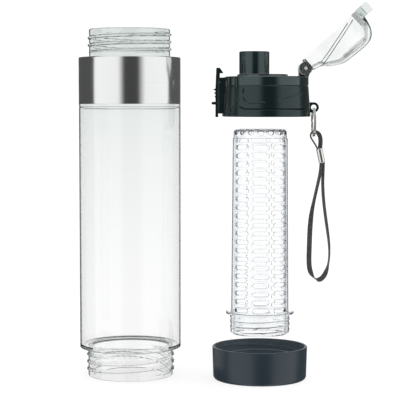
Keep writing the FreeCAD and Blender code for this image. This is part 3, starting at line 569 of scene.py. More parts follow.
def outward(polygon, axis=Vector((0, 0))):
    """How squarely a face looks away from an upright axis: 1 straight out, -1 straight in."""
    return polygon.normal.xy.dot((polygon.center.xy - axis).normalized())


def rounded(corners, steps=ROUND_STEPS):
    """Points of an outline through corners (x, y, rounding), with an arc at each rounded corner."""
    points = []
    for index, (x, y, rounding) in enumerate(corners):
        here = Vector((x, y))
        if not rounding:
            points.append(here)
            continue
        inward = (Vector(corners[index - 1][:2]) - here).normalized()
        onward = (Vector(corners[(index + 1) % len(corners)][:2]) - here).normalized()
        half_angle = inward.angle(onward) / 2
        reach = rounding / math.tan(half_angle)
        centre = here + (inward + onward).normalized() * (rounding / math.sin(half_angle))
        start = here + inward * reach - centre
        end = here + onward * reach - centre
        for step in range(steps + 1):
            points.append(centre + start.slerp(end, step / steps).normalized() * rounding)
    return points


def ladder(radius, start, end, step=THREAD_STEP):
    """Plain corners up or down a straight wall, fine enough for a thread."""
    count = math.ceil(abs(end - start) / step)
    return [(radius, blend(start, end, index / count), 0) for index in range(count + 1)]


def skin(rings, loop=True, close=False):
    """Vertices and faces over rings of points, all with the same count.

    loop joins the ends of each ring, and close joins the last ring to the first.
    """
    count = len(rings[0])
    faces = []
    for number in range(len(rings) if close else len(rings) - 1):
        here = number * count
        there = (number + 1) % len(rings) * count
        for index in range(count if loop else count - 1):
            after = (index + 1) % count
            faces.append((here + index, there + index, there + after, here + after))
    return [point for ring in rings for point in ring], faces


def joined(*parts):
    """Vertices and faces of several parts as one."""
    vertices, faces = [], []
    for part_vertices, part_faces in parts:
        first = len(vertices)
        vertices.extend(part_vertices)
        faces.extend(tuple(first + index for index in face) for face in part_faces)
    return vertices, faces


def turned(outline, relief=None, segments=SEGMENTS, closed=True):
    """Vertices and faces of an outline (radius, height) turned about Z; relief adds to the radius."""
    rings = []
    for step in range(segments):
        angle = TURN * step / segments
        ring = []
        for radius, height in outline:
            reach = radius + (relief(angle, radius, height) if relief else 0)
            ring.append(polar(reach, angle, height))
        rings.append(ring)
    return skin(rings, closed, True)


def merged(name, vertices, faces, x=0, y=0, z=0):
    """A mesh object at x, y, z without doubled vertices or empty faces, its faces facing outwards."""
    work = bmesh.new()
    points = [work.verts.new((vertex.x + x, vertex.y + y, vertex.z + z)) for vertex in vertices]
    for face in faces:
        work.faces.new([points[index] for index in face])
    bmesh.ops.remove_doubles(work, verts=work.verts, dist=MERGE_DISTANCE)
    bmesh.ops.dissolve_degenerate(work, edges=work.edges, dist=MERGE_DISTANCE)
    bmesh.ops.recalc_face_normals(work, faces=work.faces)
    return link_work(name, work)


def lathe(name, corners, x=0, y=0, z=0, relief=None, segments=SEGMENTS):
    """A closed outline with rounded corners, turned about an upright axis at x, y."""
    return merged(name, *turned(rounded(corners), relief, segments), x, y, z)


def cylinder(name, radius, bottom, top, x, z=0):
    return lathe(name, [(0, bottom, 0), (radius, bottom, 0), (radius, top, 0), (0, top, 0)], x, z=z)


def swept(name, rings):
    """A skin over rings of points, with closed ends."""
    vertices, faces = skin(rings)
    count = len(rings[0])
    faces.append(tuple(range(count - 1, -1, -1)))
    faces.append(tuple(range(len(vertices) - count, len(vertices))))
    return merged(name, vertices, faces)


def modified(piece, kind, **settings):
    """Replace a piece's mesh by what a modifier makes of it."""
    modifier = piece.modifiers.new("shape", kind)
    for key, value in settings.items():
        setattr(modifier, key, value)
    bpy.context.view_layer.update()
    mesh = bpy.data.meshes.new_from_object(piece.evaluated_get(bpy.context.evaluated_depsgraph_get()))
    piece.modifiers.clear()
    piece.data = mesh
    smooth(mesh)
    return piece


def combine(piece, other, operation):
    """Cut another mesh out of a piece, or join it on, and remove the other mesh."""
    modified(piece, "BOOLEAN", operation=operation, solver="EXACT", object=other)
    bpy.data.objects.remove(other)


def bevelled(piece, width):
    """Round every sharp edge of a piece."""
    return modified(piece, "BEVEL", width=width, segments=BEVEL_SEGMENTS, limit_method="ANGLE",
                    angle_limit=SHARP_ANGLE, use_clamp_overlap=True)


def slab(name, corners, front, rear, edge=ROUND_4):
    """An outline (x, z) with rounded corners, pushed from y front to rear, with softened edges."""
    outline = rounded(corners, SLAB_STEPS)
    return bevelled(swept(name, [[Vector((x, y, z)) for x, z in outline] for y in (front, rear)]), edge)


def rod(name, centre, radius, front, rear, edge=0):
    """A round bar along Y."""
    outline = rounded([(0, front, 0), (radius, front, edge), (radius, rear, edge), (0, rear, 0)])
    vertices, faces = turned(outline, segments=ROD_SEGMENTS)
    vertices = [Vector((centre.x + point.x, point.z, centre.z + point.y)) for point in vertices]
    return merged(name, vertices, faces)


def softened(node, edge):
    """A copy of a CAD node with its flat faces made whole and its edges rounded."""
    work = bmesh.new()
    work.from_mesh(frame["nodes"][node].data)
    bmesh.ops.remove_doubles(work, verts=work.verts, dist=MERGE_DISTANCE)
    bmesh.ops.dissolve_limit(work, angle_limit=FLAT_ANGLE, verts=work.verts, edges=work.edges)
    return bevelled(link_work(node + "_soft", work), edge)


def thread(angle, height, span, starts=1, pitch=THREAD_PITCH, fade=THREAD_FADE):
    """Share of full depth of a right-hand thread's ridge at a place on a neck."""
    start, end = span
    phase = ((height - start) / pitch - starts * angle / TURN) % 1
    ridge = ease((RIDGE_HALF_SHARE - abs(phase - 0.5)) / RIDGE_FLANK_SHARE)
    return ridge * ease((height - start) / fade) * ease((end - height) / fade)


def make_bottle(material):
    """Clear tube with a threaded neck at each end."""
    def relief(angle, radius, height):
        if same(radius, TOP_NECK):
            return THREAD_DEPTH * thread(angle, height, TOP_THREAD)
        if same(radius, BASE_NECK):
            return THREAD_DEPTH * thread(angle, height, BASE_THREAD, BASE_STARTS)
        return 0

    # Painted shade: a dark line round the outer corner of the base shoulder; level faces and inner walls never take the
    # painted edge shade
    def shade(polygon):
        place = polygon.center
        if place.z < BASE_SHOULDER + BODY_ROUND and place.xy.length > BODY_RADIUS - BODY_ROUND:
            return SHOULDER_SHADE
        return -(abs(polygon.normal.z) > LEVEL_NORMAL or outward(polygon) < 0)

    bottle = lathe("bottle_clear", [
        (BASE_NECK, 0, RIM_ROUND),
        *ladder(BASE_NECK, *BASE_WALL),
        (BASE_NECK, BASE_SHOULDER, ROUND_5),
        (BODY_RADIUS, BASE_SHOULDER, BODY_ROUND),
        (BODY_RADIUS, BAND_LOW - LEDGE - LEDGE_GROOVE, 0),
        (BODY_RADIUS - LEDGE_GROOVE, BAND_LOW - LEDGE, ROUND_1),
        (BODY_RADIUS, BAND_LOW - LEDGE + LEDGE_GROOVE, 0),
        (BODY_RADIUS, BAND_LOW, ROUND_3),
        (BAND_SEAT, BAND_LOW, 0),
        (BAND_SEAT, SHOULDER, ROUND_3),
        (NECK_COLLAR, SHOULDER, 0),
        (NECK_COLLAR, BAND_HIGH, ROUND_2),
        *ladder(TOP_NECK, *TOP_WALL),
        (TOP_NECK, BOTTLE_TOP, RIM_ROUND),
        (TOP_BORE, BOTTLE_TOP, ROUND_4),
        (TOP_BORE, SHOULDER - BODY_WALL, NECK_BORE_ROUND),
        (BODY_BORE, SHOULDER - BODY_WALL - SHOULDER_SLOPE, BODY_BORE_ROUND),
        (BODY_BORE, BASE_SHOULDER + BODY_WALL + BASE_SLOPE, ROUND_4),
        (BASE_BORE, BASE_SHOULDER + BODY_WALL, ROUND_4),
        (BASE_BORE, 0, ROUND_4),
    ], relief=relief, segments=BOTTLE_SEGMENTS)
    mark_edges(bottle, shade)
    dress(bottle, "bottle", "clear_plastic", material, "bottle_body")


def make_band(material):
    """Steel sleeve with a rounded top edge and a lip turned in over the shoulder."""
    lip = NECK_COLLAR + FIT_GAP
    band = lathe("band_steel", [
        (BAND_RADIUS, BAND_LOW, ROUND_2),
        (BAND_RADIUS, BAND_HIGH, BAND_ROUND),
        (lip, BAND_HIGH, ROUND_1),
        (lip, BAND_HIGH - BAND_SHEET, 0),
        (BAND_RADIUS - BAND_SHEET, BAND_HIGH - BAND_SHEET, ROUND_3),
        (BAND_RADIUS - BAND_SHEET, BAND_LOW, ROUND_2),
    ])
    dress(band, "bottle", "brushed_steel", material, "steel_band")


def make_base_cap(outside, inside):
    """Dark cap with a thread inside its wall and a boss for the infuser's foot."""
    def relief(angle, radius, height):
        return -CAP_RIDGE * thread(angle, height, CAP_THREAD, BASE_STARTS) if same(radius, CAP_BORE) else 0

    cap = lathe("base_cap_moulded", [
        (CAP_BOTTOM_RADIUS, 0, CAP_ROUND),
        (CAP_RADIUS, CAP_TOP, CAP_LIP),
        (CAP_BORE, CAP_TOP, CAP_LIP),
        *ladder(CAP_BORE, *CAP_WALL),
        (CAP_BORE, CAP_FLOOR, ROUND_6),
        (BOSS_OUTER, CAP_FLOOR, ROUND_6),
        (BOSS_OUTER, BOSS_TOP, ROUND_5),
        (BOSS_BORE, BOSS_TOP, ROUND_5),
        (BOSS_BORE, CAP_FLOOR, ROUND_6),
        (0, CAP_FLOOR, 0),
        (0, CAP_RECESS, 0),
        (CAP_FOOT, CAP_RECESS, ROUND_3),
        (CAP_FOOT, 0, ROUND_3),
    ], *BASE_AXIS, relief=relief)
    dress(cap, "base", "cap_plastic", outside, "base_cap")
    # Painted light: the inner wall, the floor and the boss take a lighter copy of the cap's plastic, as if lit from
    # above
    cap.data.materials.append(inside)
    for polygon in cap.data.polygons:
        on_boss = (polygon.center.xy - BASE_AXIS).length < BOSS_OUTER + CAP_LIP
        if polygon.center.z > CAP_FLOOR and (on_boss or outward(polygon, BASE_AXIS) < 0):
            polygon.material_index = 1


def plain_cell(facing, half_angle, below, above, surface, sides, ends):
    """The outer and inner skin of a whole piece of wall as large as one cell."""
    skins = []
    for depth in (0, 1):
        rows = []
        for row in range(ends + 1):
            along = blend(above, below, row / ends)
            angles = [facing + (2 * index / sides - 1) * half_angle for index in range(sides + 1)]
            rows.append([surface(angle, along, depth) for angle in angles])
        skins.append(skin(rows, loop=False))
    return skins


def pierced(columns, cells, surface, half_wide, half_tall, ends, plain_columns=()):
    """Vertices and faces of a shell of revolution with a row of pill-shaped holes in each cell row.

    cells gives each row's (lowest, middle, highest) place along the surface, and
    surface(angle, along, depth) a point, with depth 0 outside and 1 inside.
    """
    parts = []
    sides = BASKET_SEGMENTS // columns
    half_angle = math.pi / columns
    flat = half_wide - half_tall
    for below, centre, above in cells:
        reach = surface(0, centre, 0).xy.length
        frame_ring, hole_ring = [], []
        for sign, near, far in ((1, above, below), (-1, below, above)):
            for index in range(sides):
                share = sign * (2 * index / sides - 1)
                frame_ring.append((share * half_angle, near))
                hole_ring.append((share * flat, 0, sign))
            for index in range(ends):
                angle = sign * math.pi / 2 - math.pi * index / ends
                frame_ring.append((sign * half_angle, blend(near, far, index / ends)))
                hole_ring.append((sign * flat, math.cos(angle), math.sin(angle)))
        for column in range(columns):
            facing = TURN * column / columns
            if column in plain_columns:
                parts += plain_cell(facing, half_angle, below, above, surface, sides, ends)
                continue
            rings = [[surface(facing + side, along, 0) for side, along in frame_ring]]
            for depth, widen in HOLE_RINGS:
                grown = half_tall + widen
                rings.append([
                    surface(facing + (x + out_x * grown) / reach, centre + out_y * grown, depth)
                    for x, out_x, out_y in hole_ring
                ])
            rings.append([surface(facing + side, along, 1) for side, along in frame_ring])
            parts.append(skin(rings))
    return joined(*parts)


def sleeve(corners, relief=None):
    """Vertices and faces of an open outline turned to meet the infuser's pierced walls."""
    return turned(rounded(corners), relief, BASKET_SEGMENTS, closed=False)


def make_basket(material):
    """Slotted tube with a flange and a threaded foot."""
    def tube_radius(height):
        return blend(TUBE_LOW_RADIUS, TUBE_HIGH_RADIUS, (height - FLANGE_TOP) / (TUBE_TOP - FLANGE_TOP))

    def surface(angle, height, depth):
        return polar(tube_radius(height) - depth * TUBE_WALL, angle, height)

    def relief(angle, radius, height):
        ridge = thread(angle, height, FOOT_THREAD, pitch=FOOT_PITCH, fade=FOOT_PITCH / 2)
        return FOOT_RIDGE * ridge if same(radius, FOOT_RADIUS) else 0

    cells = []
    for row in range(SLOT_ROWS):
        centre = FLANGE_TOP + SLOT_MARGIN + row * SLOT_PITCH
        cells.append((max(centre - SLOT_PITCH / 2, FLANGE_TOP), centre, centre + SLOT_PITCH / 2))
    top_row = cells[-1][2]
    tube = pierced(
        SLOT_COLUMNS, cells, surface, SLOT_HALF_WIDTH, SLOT_HALF_HEIGHT, SLOT_END_STEPS, PLAIN_COLUMNS)
    bore = TUBE_LOW_RADIUS - TUBE_WALL
    foot = sleeve([
        (TUBE_LOW_RADIUS, FLANGE_TOP, 0),
        (FLANGE_RADIUS, FLANGE_TOP, ROUND_3),
        (FLANGE_RADIUS, FOOT_TOP, ROUND_3),
        *ladder(FOOT_RADIUS, FOOT_TOP, INFUSER_LOW + FOOT_CHAMFER),
        (FOOT_RADIUS - FOOT_CHAMFER, INFUSER_LOW, ROUND_3),
        (bore, INFUSER_LOW, ROUND_3),
        (bore, FLANGE_TOP, 0),
    ], relief)
    end_ring = sleeve([
        (tube_radius(top_row), top_row, 0),
        (TUBE_HIGH_RADIUS, TUBE_TOP, ROUND_3),
        (TUBE_HIGH_RADIUS - TUBE_WALL, TUBE_TOP, ROUND_3),
        (tube_radius(top_row) - TUBE_WALL, top_row, 0),
    ])
    basket = merged("basket_clear", *joined(tube, foot, end_ring), *BASE_AXIS)
    # Faces that don't look straight out or in, such as the slot walls, never take the painted edge shade
    mark_edges(basket, lambda polygon: -(abs(outward(polygon, BASE_AXIS)) < WALL_NORMAL))
    dress(basket, "infuser", "clear_plastic", material, "infuser_basket")


def make_crown(material):
    """End piece with a ring of round holes through its rounded shoulder."""
    pivot_radius = CROWN_RADIUS - CROWN_ROUND
    pivot_height = CROWN_TOP - CROWN_ROUND
    inner_round = CROWN_ROUND - CROWN_WALL

    def surface(angle, along, depth):
        swing = max(along, 0) / CROWN_ROUND
        reach = blend(CROWN_ROUND, inner_round, depth)
        height = pivot_height + min(along, 0) + reach * math.sin(swing)
        return polar(pivot_radius + reach * math.cos(swing), angle, height)

    # Painted shade on the walls of the holes; level faces never take the painted edge shade
    def shade(polygon):
        if abs(polygon.normal.z) > LEVEL_NORMAL:
            return -1
        reach = (polygon.center.xy - BASE_AXIS).length
        rise = polygon.center.z - pivot_height
        if reach < pivot_radius or rise < -HOLE_DROP:
            return 0
        across = Vector((reach - pivot_radius, max(rise, 0)))
        tilt = Vector((outward(polygon, BASE_AXIS), polygon.normal.z))
        return HOLE_SHADE * (abs(tilt.dot(across.normalized())) < WALL_NORMAL)

    cell = (-HOLE_DROP, HOLE_MIDDLE, CROWN_ROUND * math.pi / 2)
    band = pierced(CROWN_HOLES, [cell], surface, CROWN_HOLE, CROWN_HOLE, CROWN_HOLE_STEPS)
    top = sleeve([
        (pivot_radius, CROWN_TOP, 0),
        (0, CROWN_TOP, 0),
        (0, CROWN_TOP - CROWN_WALL, 0),
        (pivot_radius, CROWN_TOP - CROWN_WALL, 0),
    ])
    wall = sleeve([
        (CROWN_RADIUS, pivot_height - HOLE_DROP, 0),
        (CROWN_RADIUS, TUBE_TOP, ROUND_3),
        (CROWN_SPIGOT, TUBE_TOP, 0),
        (CROWN_SPIGOT, CROWN_LOW, ROUND_3),
        (CROWN_SPIGOT - CROWN_WALL, CROWN_LOW, ROUND_3),
        (pivot_radius + inner_round, pivot_height - HOLE_DROP, 0),
    ])
    crown = merged("crown_clear", *joined(band, top, wall), *BASE_AXIS)
    mark_edges(crown, shade)
    dress(crown, "infuser", "clear_plastic", material, "infuser_crown")


def skirt_radius(height):
    """Outer radius of the lid at a height above its lower edge."""
    return blend(LID_RADIUS, LID_TOP_RADIUS, clamp((height - SKIRT_EDGE) / (TAPER_TOP - SKIRT_EDGE)))


def line_distance(point, line):
    """Least distance from a point to a line of points, all in one plane."""
    nearest = math.inf
    for start, end in zip(line, line[1:]):
        run = end - start
        share = clamp((point - start).dot(run) / run.length_squared)
        nearest = min(nearest, (point - start - run * share).length)
    return nearest


def make_lid(satin, gloss, groove):
    """Screw lid with grooved lines on its skirt, a glossy band at its top and a hole for the spout."""
    lines = [rounded(corners) for corners in SWOOSHES]
    skirt_top = DECK - DECK_ROUND

    def swoosh_distance(x, height):
        return min(line_distance(Vector((x, height)), line) for line in lines)

    def relief(angle, radius, height):
        if same(radius, LID_BORE) and height < BORE_DEPTH:
            return -CAP_RIDGE * thread(angle, height, LID_THREAD)
        if radius < skirt_radius(height) - MERGE_DISTANCE or height < SKIRT_EDGE or height > skirt_top:
            return 0
        cut = ease((SWOOSH_WIDTH / 2 - swoosh_distance(radius * math.cos(angle), height)) / SWOOSH_FLANK)
        ring = ease((GROOVE_WIDTH / 2 - abs(height - GROOVE_HIGH)) / SWOOSH_FLANK)
        return -max(SWOOSH_DEPTH * cut, GROOVE_DEPTH * ring)

    skirt = ladder(0, SKIRT_EDGE + LID_STEP, skirt_top - LID_STEP, LID_STEP)
    lid = lathe("lid_moulded", [
        (LID_RADIUS, 0, SKIRT_EDGE),
        *[(skirt_radius(height), height, 0) for _, height, _ in skirt],
        (LID_TOP_RADIUS, DECK, DECK_ROUND),
        (0, DECK, 0),
        (0, DECK_UNDER, 0),
        (CHAMBER_RADIUS, DECK_UNDER, ROUND_5),
        (CHAMBER_RADIUS, STEP_HEIGHT, ROUND_2),
        (COLLAR_BORE, STEP_HEIGHT, ROUND_2),
        (COLLAR_BORE, BORE_DEPTH, ROUND_2),
        (LID_BORE, BORE_DEPTH, ROUND_2),
        *ladder(LID_BORE, *LID_WALL),
        (LID_BORE, 0, ROUND_4),
    ], LID_X, 0, LID_Z, relief, LID_SEGMENTS)
    hole = cylinder(
        "spout_hole", SPOUT_SPIGOT + FIT_GAP, DECK_UNDER - HOLE_OVERRUN, DECK + HOLE_OVERRUN, SPOUT_X, LID_Z)
    combine(lid, hole, "DIFFERENCE")
    dress(lid, "lid", "lid_plastic", satin, "lid_shell")
    lid.data.materials.append(gloss)
    lid.data.materials.append(groove)
    # Faces in the swoosh grooves take the darker groove copy, painted shade in the grooves; faces of the top band take
    # the glossy copy
    for polygon in lid.data.polygons:
        place = polygon.center - Vector((LID_X, 0, LID_Z))
        on_skirt = place.xy.length > LID_BORE + LID_STEP and SKIRT_EDGE < place.z < skirt_top
        if on_skirt and swoosh_distance(place.x, place.z) < SWOOSH_WIDTH / 2:
            polygon.material_index = 2
        elif place.z > GROOVE_HIGH and polygon.normal.z > GLOSS_NORMAL:
            polygon.material_index = 1


def make_lid_fittings(material):
    """Hinge ear, latch cheeks and strap eyelet on the lid."""
    deck = LID_Z + DECK
    ear = slab("lid_ear", [
        (HINGE.x - EAR_RADIUS, deck - EAR_ROOT, 0),
        (EAR_REAR, deck - EAR_ROOT, 0),
        (EAR_REAR, deck, 0),
        (HINGE.x + EAR_RADIUS, HINGE.z, 0),
        (HINGE.x + EAR_RADIUS, HINGE.z + EAR_RADIUS, EAR_RADIUS),
        (HINGE.x - EAR_RADIUS, HINGE.z + EAR_RADIUS, EAR_RADIUS),
    ], -EAR_HALF, EAR_HALF)
    cheek = [
        (CHEEK_FRONT, LID_Z + CHEEK_LOW, CHEEK_LOW_ROUND),
        (CHEEK_LOW_ROOT, LID_Z + CHEEK_LOW, 0),
        (CHEEK_LOW_ROOT, LID_Z + BORE_DEPTH, 0),
        (CHEEK_ROOT, LID_Z + BORE_DEPTH, 0),
        (CHEEK_ROOT, LID_Z + CHEEK_HIGH, ROUND_3),
        (CHEEK_FRONT, LID_Z + CHEEK_HIGH, CHEEK_HIGH_ROUND),
    ]
    front_cheek = slab("lid_cheek_front", cheek, -CHEEK_OUTER, -CHEEK_INNER)
    rear_cheek = slab("lid_cheek_rear", cheek, CHEEK_INNER, CHEEK_OUTER)
    wall = LID_X + skirt_radius(EYELET.z - LID_Z) - EYELET_ROOT
    eyelet = slab("lid_eyelet", [
        (wall, EYELET.z - EYELET_RADIUS, 0),
        (EYELET.x + EYELET_RADIUS, EYELET.z - EYELET_RADIUS, EYELET_RADIUS),
        (EYELET.x + EYELET_RADIUS, EYELET.z + EYELET_RADIUS, EYELET_RADIUS),
        (wall, EYELET.z + EYELET_RADIUS, 0),
    ], -EYELET_HALF, EYELET_HALF)
    combine(eyelet, rod("eyelet_hole", EYELET, EYELET_HOLE, -2 * EYELET_HALF, 2 * EYELET_HALF), "DIFFERENCE")
    for piece in (ear, eyelet, front_cheek, rear_cheek):
        dress(piece, "lid", "lid_plastic", material)


def make_spout(material):
    """Drinking spout with a rounded lip, and the round plate that it stands on."""
    deck = LID_Z + DECK
    spout = lathe("spout_tube", [
        (SPOUT_BORE, LID_Z + DECK_UNDER, ROUND_3),
        (SPOUT_SPIGOT, LID_Z + DECK_UNDER, ROUND_3),
        (SPOUT_SPIGOT, deck, 0),
        (SPOUT_RADIUS, deck, 0),
        (SPOUT_RADIUS, SPOUT_TOP, RIM_ROUND),
        (SPOUT_BORE, SPOUT_TOP, ROUND_6),
    ], SPOUT_X)
    dress(spout, "lid", "spout_plastic", material, "spout")
    plate = lathe("spout_plate", [
        (0, deck, 0),
        (PLATE_RADIUS, deck, 0),
        (PLATE_RADIUS, deck + PLATE_RISE, ROUND_6),
        (0, deck + PLATE_RISE, 0),
    ], PLATE_X)
    hole = cylinder("plate_hole", PLATE_HOLE, deck - PLATE_RISE, deck + 2 * PLATE_RISE, SPOUT_X)
    combine(plate, hole, "DIFFERENCE")
    dress(plate, "lid", "spout_plastic", material)


def along_shares(shares, place):
    """Smooth height share at a place along a line of (place, height) shares."""
    if place <= shares[0][0]:
        return shares[0][1]
    for index in range(len(shares) - 1):
        (left, start), (right, end) = shares[index], shares[index + 1]
        if place <= right:
            before = shares[max(index - 1, 0)]
            after = shares[min(index + 2, len(shares) - 1)]
            span = right - left
            slope_in = (end - before[1]) / (right - before[0]) * span
            slope_out = (after[1] - start) / (after[0] - left) * span
            t = (place - left) / span
            return (
                (2 * t ** 3 - 3 * t ** 2 + 1) * start + (t ** 3 - 2 * t ** 2 + t) * slope_in
                + (3 * t ** 2 - 2 * t ** 3) * end + (t ** 3 - t ** 2) * slope_out
            )
    return shares[-1][1]


def opened(point):
    """Where a point of the shut cover, measured from the hinge, lies with the cover open."""
    return HINGE + COVER_OPENING @ point


def shut(point):
    """Where a point of the open cover lies from the hinge with the cover shut."""
    return COVER_OPENING.transposed() @ (point - HINGE)


def cover_half(along):
    """Half the cover's width at its rim, from the heel to the tip."""
    share = (along - COVER_HEEL) / (COVER_LENGTH - COVER_HEEL)
    bulge = COVER_BULGE * (1 - (2 * share - 1) ** 2) ** COVER_PLAN_POWER
    return blend(KNUCKLE_END, COVER_TIP_HALF, share) + bulge


def crease_share(along):
    return (along - CREASE_START) / (CREASE_END - CREASE_START)


def crease_rise(along):
    """Height of the crease's lower edge at a place along the cover."""
    return blend(CREASE_START_RISE, CREASE_END_RISE, clamp(crease_share(along)))


def cover_ring(along, inset):
    """One section of the dome at a place along the cover: a low side, a crease and the dome over it."""
    place = along
    if inset:
        place += END_THICKENING * ease((along / COVER_LENGTH - END_START) / END_SPAN)
    top = along_shares(DOME_SHARES, place / COVER_LENGTH) * COVER_DOME - inset
    half = cover_half(place) - inset
    share = crease_share(along)
    step = CREASE_STEP * ease(share / CREASE_FADE) * ease((1 - share) / CREASE_FADE)
    low_share = min((crease_rise(along) - COVER_RIM) / (top - COVER_RIM), CREASE_LIMIT)
    high_share = min(low_share + CREASE_WIDTH / (top - COVER_RIM), (1 + CREASE_LIMIT) / 2)
    low_angle = math.asin(low_share ** (1 / COVER_ROUND_POWER))
    high_angle = math.asin(high_share ** (1 / COVER_ROUND_POWER))
    angles = [(low_angle * index / COVER_SIDE_STEPS, step) for index in range(COVER_SIDE_STEPS + 1)]
    for index in range(COVER_DOME_STEPS):
        angles.append((blend(high_angle, math.pi / 2, index / COVER_DOME_STEPS), 0))
    sides = []
    for angle, back in angles:
        rise = math.sin(angle) ** COVER_ROUND_POWER
        across = math.cos(angle) ** COVER_ROUND_POWER * half * (1 - COVER_LEAN_SHARE * rise) - back
        sides.append((across, blend(COVER_RIM, top, rise)))
    ring = [Vector((-along, across, rise)) for across, rise in sides]
    ring.append(Vector((-along, 0, top)))
    return ring + [Vector((-along, -across, rise)) for across, rise in reversed(sides)]


def cover_shell():
    """The clear dome: an outer and an inner skin, joined round the open rim."""
    skins = []
    for inset in (0, COVER_WALL):
        start = COVER_HEEL + inset
        end = COVER_LENGTH - (inset + END_THICKENING if inset else 0)
        rings = [cover_ring(blend(start, end, step / COVER_STEPS), inset) for step in range(COVER_STEPS + 1)]
        skins.append(skin(rings, loop=False))
    vertices, faces = joined(*skins)
    count = len(rings[0])
    inner = len(vertices) // 2
    end_ring = COVER_STEPS * count
    for first in (0, end_ring, inner, inner + end_ring):
        for turn in range(count // 2):
            last = first + count - 1 - turn
            faces.append(tuple(dict.fromkeys((first + turn, first + turn + 1, last - 1, last))))
    for edge in (0, count - 1):
        for here in range(edge, end_ring + edge, count):
            faces.append((here, here + count, inner + here + count, inner + here))
    for first in (0, end_ring):
        last = first + count - 1
        faces.append((first, last, inner + last, inner + first))
    return merged("cover_clear", [opened(point) for point in vertices], faces)


def prism(name, corners, bottom, top, edge):
    """A plan outline (along, across) of the shut cover, pushed up from bottom to top, at the open place."""
    rings = []
    for height in (bottom, top):
        rings.append([opened(Vector((-along, across, height))) for along, across in corners])
    return bevelled(swept(name, rings), edge)


def block(start, end, half):
    """Corners of a plain plan outline for prism."""
    return [(start, -half), (end, -half), (end, half), (start, half)]


def make_cover(material):
    """Clear flip cover: domed shell, two knuckles and a notched tip."""
    # Painted shade: the faces of the crease take the full dark edge colour
    def on_crease(polygon):
        place = shut(polygon.center)
        above = place.z - crease_rise(-place.x)
        return CREASE_START < -place.x < CREASE_END and 0 < above < CREASE_WIDTH

    cover = cover_shell()
    root = COVER_LENGTH - COVER_WALL
    tip = prism("cover_tip", [
        (root, -COVER_TIP_HALF), (TIP_LENGTH, -COVER_TIP_HALF), (TIP_LENGTH, -NOTCH_HALF),
        (NOTCH_START, -NOTCH_HALF), (NOTCH_START, NOTCH_HALF), (TIP_LENGTH, NOTCH_HALF),
        (TIP_LENGTH, COVER_TIP_HALF), (root, COVER_TIP_HALF),
    ], COVER_RIM, TIP_RISE, ROUND_5)
    lip_plan = block(NOTCH_START - LIP_OVERLAP, NOTCH_LIP, NOTCH_HALF + LIP_OVERLAP)
    lip = prism("cover_lip", lip_plan, COVER_RIM, COVER_RIM + LIP_RISE, ROUND_3)
    room_plan = block(-2 * KNUCKLE_RADIUS, EAR_ROOM, KNUCKLE_START)
    ear_room = prism("ear_room", room_plan, -2 * KNUCKLE_RADIUS, 4 * KNUCKLE_RADIUS, ROUND_2)
    combine(cover, tip, "UNION")
    combine(cover, lip, "UNION")
    outer = KNUCKLE_END + KNUCKLE_PROUD
    for name, start, end in (("front", -outer, -KNUCKLE_START), ("rear", KNUCKLE_START, outer)):
        combine(cover, rod("knuckle_" + name, HINGE, KNUCKLE_RADIUS, start, end, ROUND_4), "UNION")
    combine(cover, ear_room, "DIFFERENCE")
    bore = rod("pin_bore", HINGE, PIN_RADIUS + PIN_CLEARANCE, -2 * KNUCKLE_END, 2 * KNUCKLE_END)
    combine(cover, bore, "DIFFERENCE")
    dress(cover, "cover", "clear_plastic", material, "flip_cover")
    mark_edges(cover, on_crease)


def make_small_parts(silicone, clear_silicone, plastic, steel, satin):
    """Gaskets, cover seal, latch with its pin and spring, and the hinge pin."""
    for name, node, body, x, y, inner in (
        ("base_gasket_ring", "base_gasket", "base", *BASE_AXIS, BASE_GASKET_BORE),
        ("lid_gasket_ring", "lid_gasket", "lid", LID_X, 0, LID_GASKET_BORE),
    ):
        outer = half_width(node)
        bottom, top = low(node).z, high(node).z
        corners = [(inner, bottom), (outer, bottom), (outer, top), (inner, top)]
        ring = lathe(name, [(radius, height, ROUND_3) for radius, height in corners], x, y)
        dress(ring, body, "silicone", silicone, node)
    dress(softened("spout_seal", ROUND_4), "cover", "clear_silicone", clear_silicone, "spout_seal")
    dress(softened("latch", LATCH_ROUND), "rocker", "lid_plastic", plastic, "latch")
    hinge_pin = rod("hinge_pin_turned", HINGE, PIN_RADIUS, -KNUCKLE_END, KNUCKLE_END, PIN_ROUND)
    dress(hinge_pin, "lid", "bright_steel", satin, "hinge_pin")
    latch_pin = rod("latch_pin_turned", PIVOT, LATCH_PIN_RADIUS, -CHEEK_OUTER, CHEEK_OUTER, ROUND_3)
    dress(latch_pin, "lid", "bright_steel", steel, "latch_pin")
    # The spring's CAD node stays in view
    spring = frame["nodes"]["latch_spring"].data
    spring.materials.clear()
    spring.materials.append(steel)


def oval(half_wide, half_thick, count=BAND_SIDES, power=FLAT_POWER):
    """A band's section with rounded edges, as (across, through) pairs; a power of 1 makes it an ellipse."""
    def bulged(value):
        return math.copysign(abs(value) ** power, value)

    angles = [TURN * (index + 0.5) / count for index in range(count)]
    return [(bulged(math.cos(angle)) * half_wide, bulged(math.sin(angle)) * half_thick) for angle in angles]


def make_strap_ring(material):
    """Split ring of two flat coils that step across each other."""
    centre = middle("strap_ring")
    axis = Vector((math.cos(RING_YAW), math.sin(RING_YAW), 0))
    side = Vector((-axis.y, axis.x, 0))
    up = Vector((0, 0, 1))
    section = oval(RING_HALF_WIDE, RING_HALF_THICK, RING_SIDES)
    rings = []
    for step in range(2 * RING_STEPS + 1):
        turns = step / RING_STEPS
        spoke = side * math.cos(TURN * turns) + up * math.sin(TURN * turns)
        shift = axis * RING_WIRE * (ease((turns - RING_CROSSING) / RING_CROSSING_SPAN) - 0.5)
        rings.append([
            centre + shift + spoke * (RING_RADIUS + across) + axis * through for across, through in section
        ])
    dress(swept("strap_split_ring", rings), "ring", "bright_steel", material, "strap_ring")


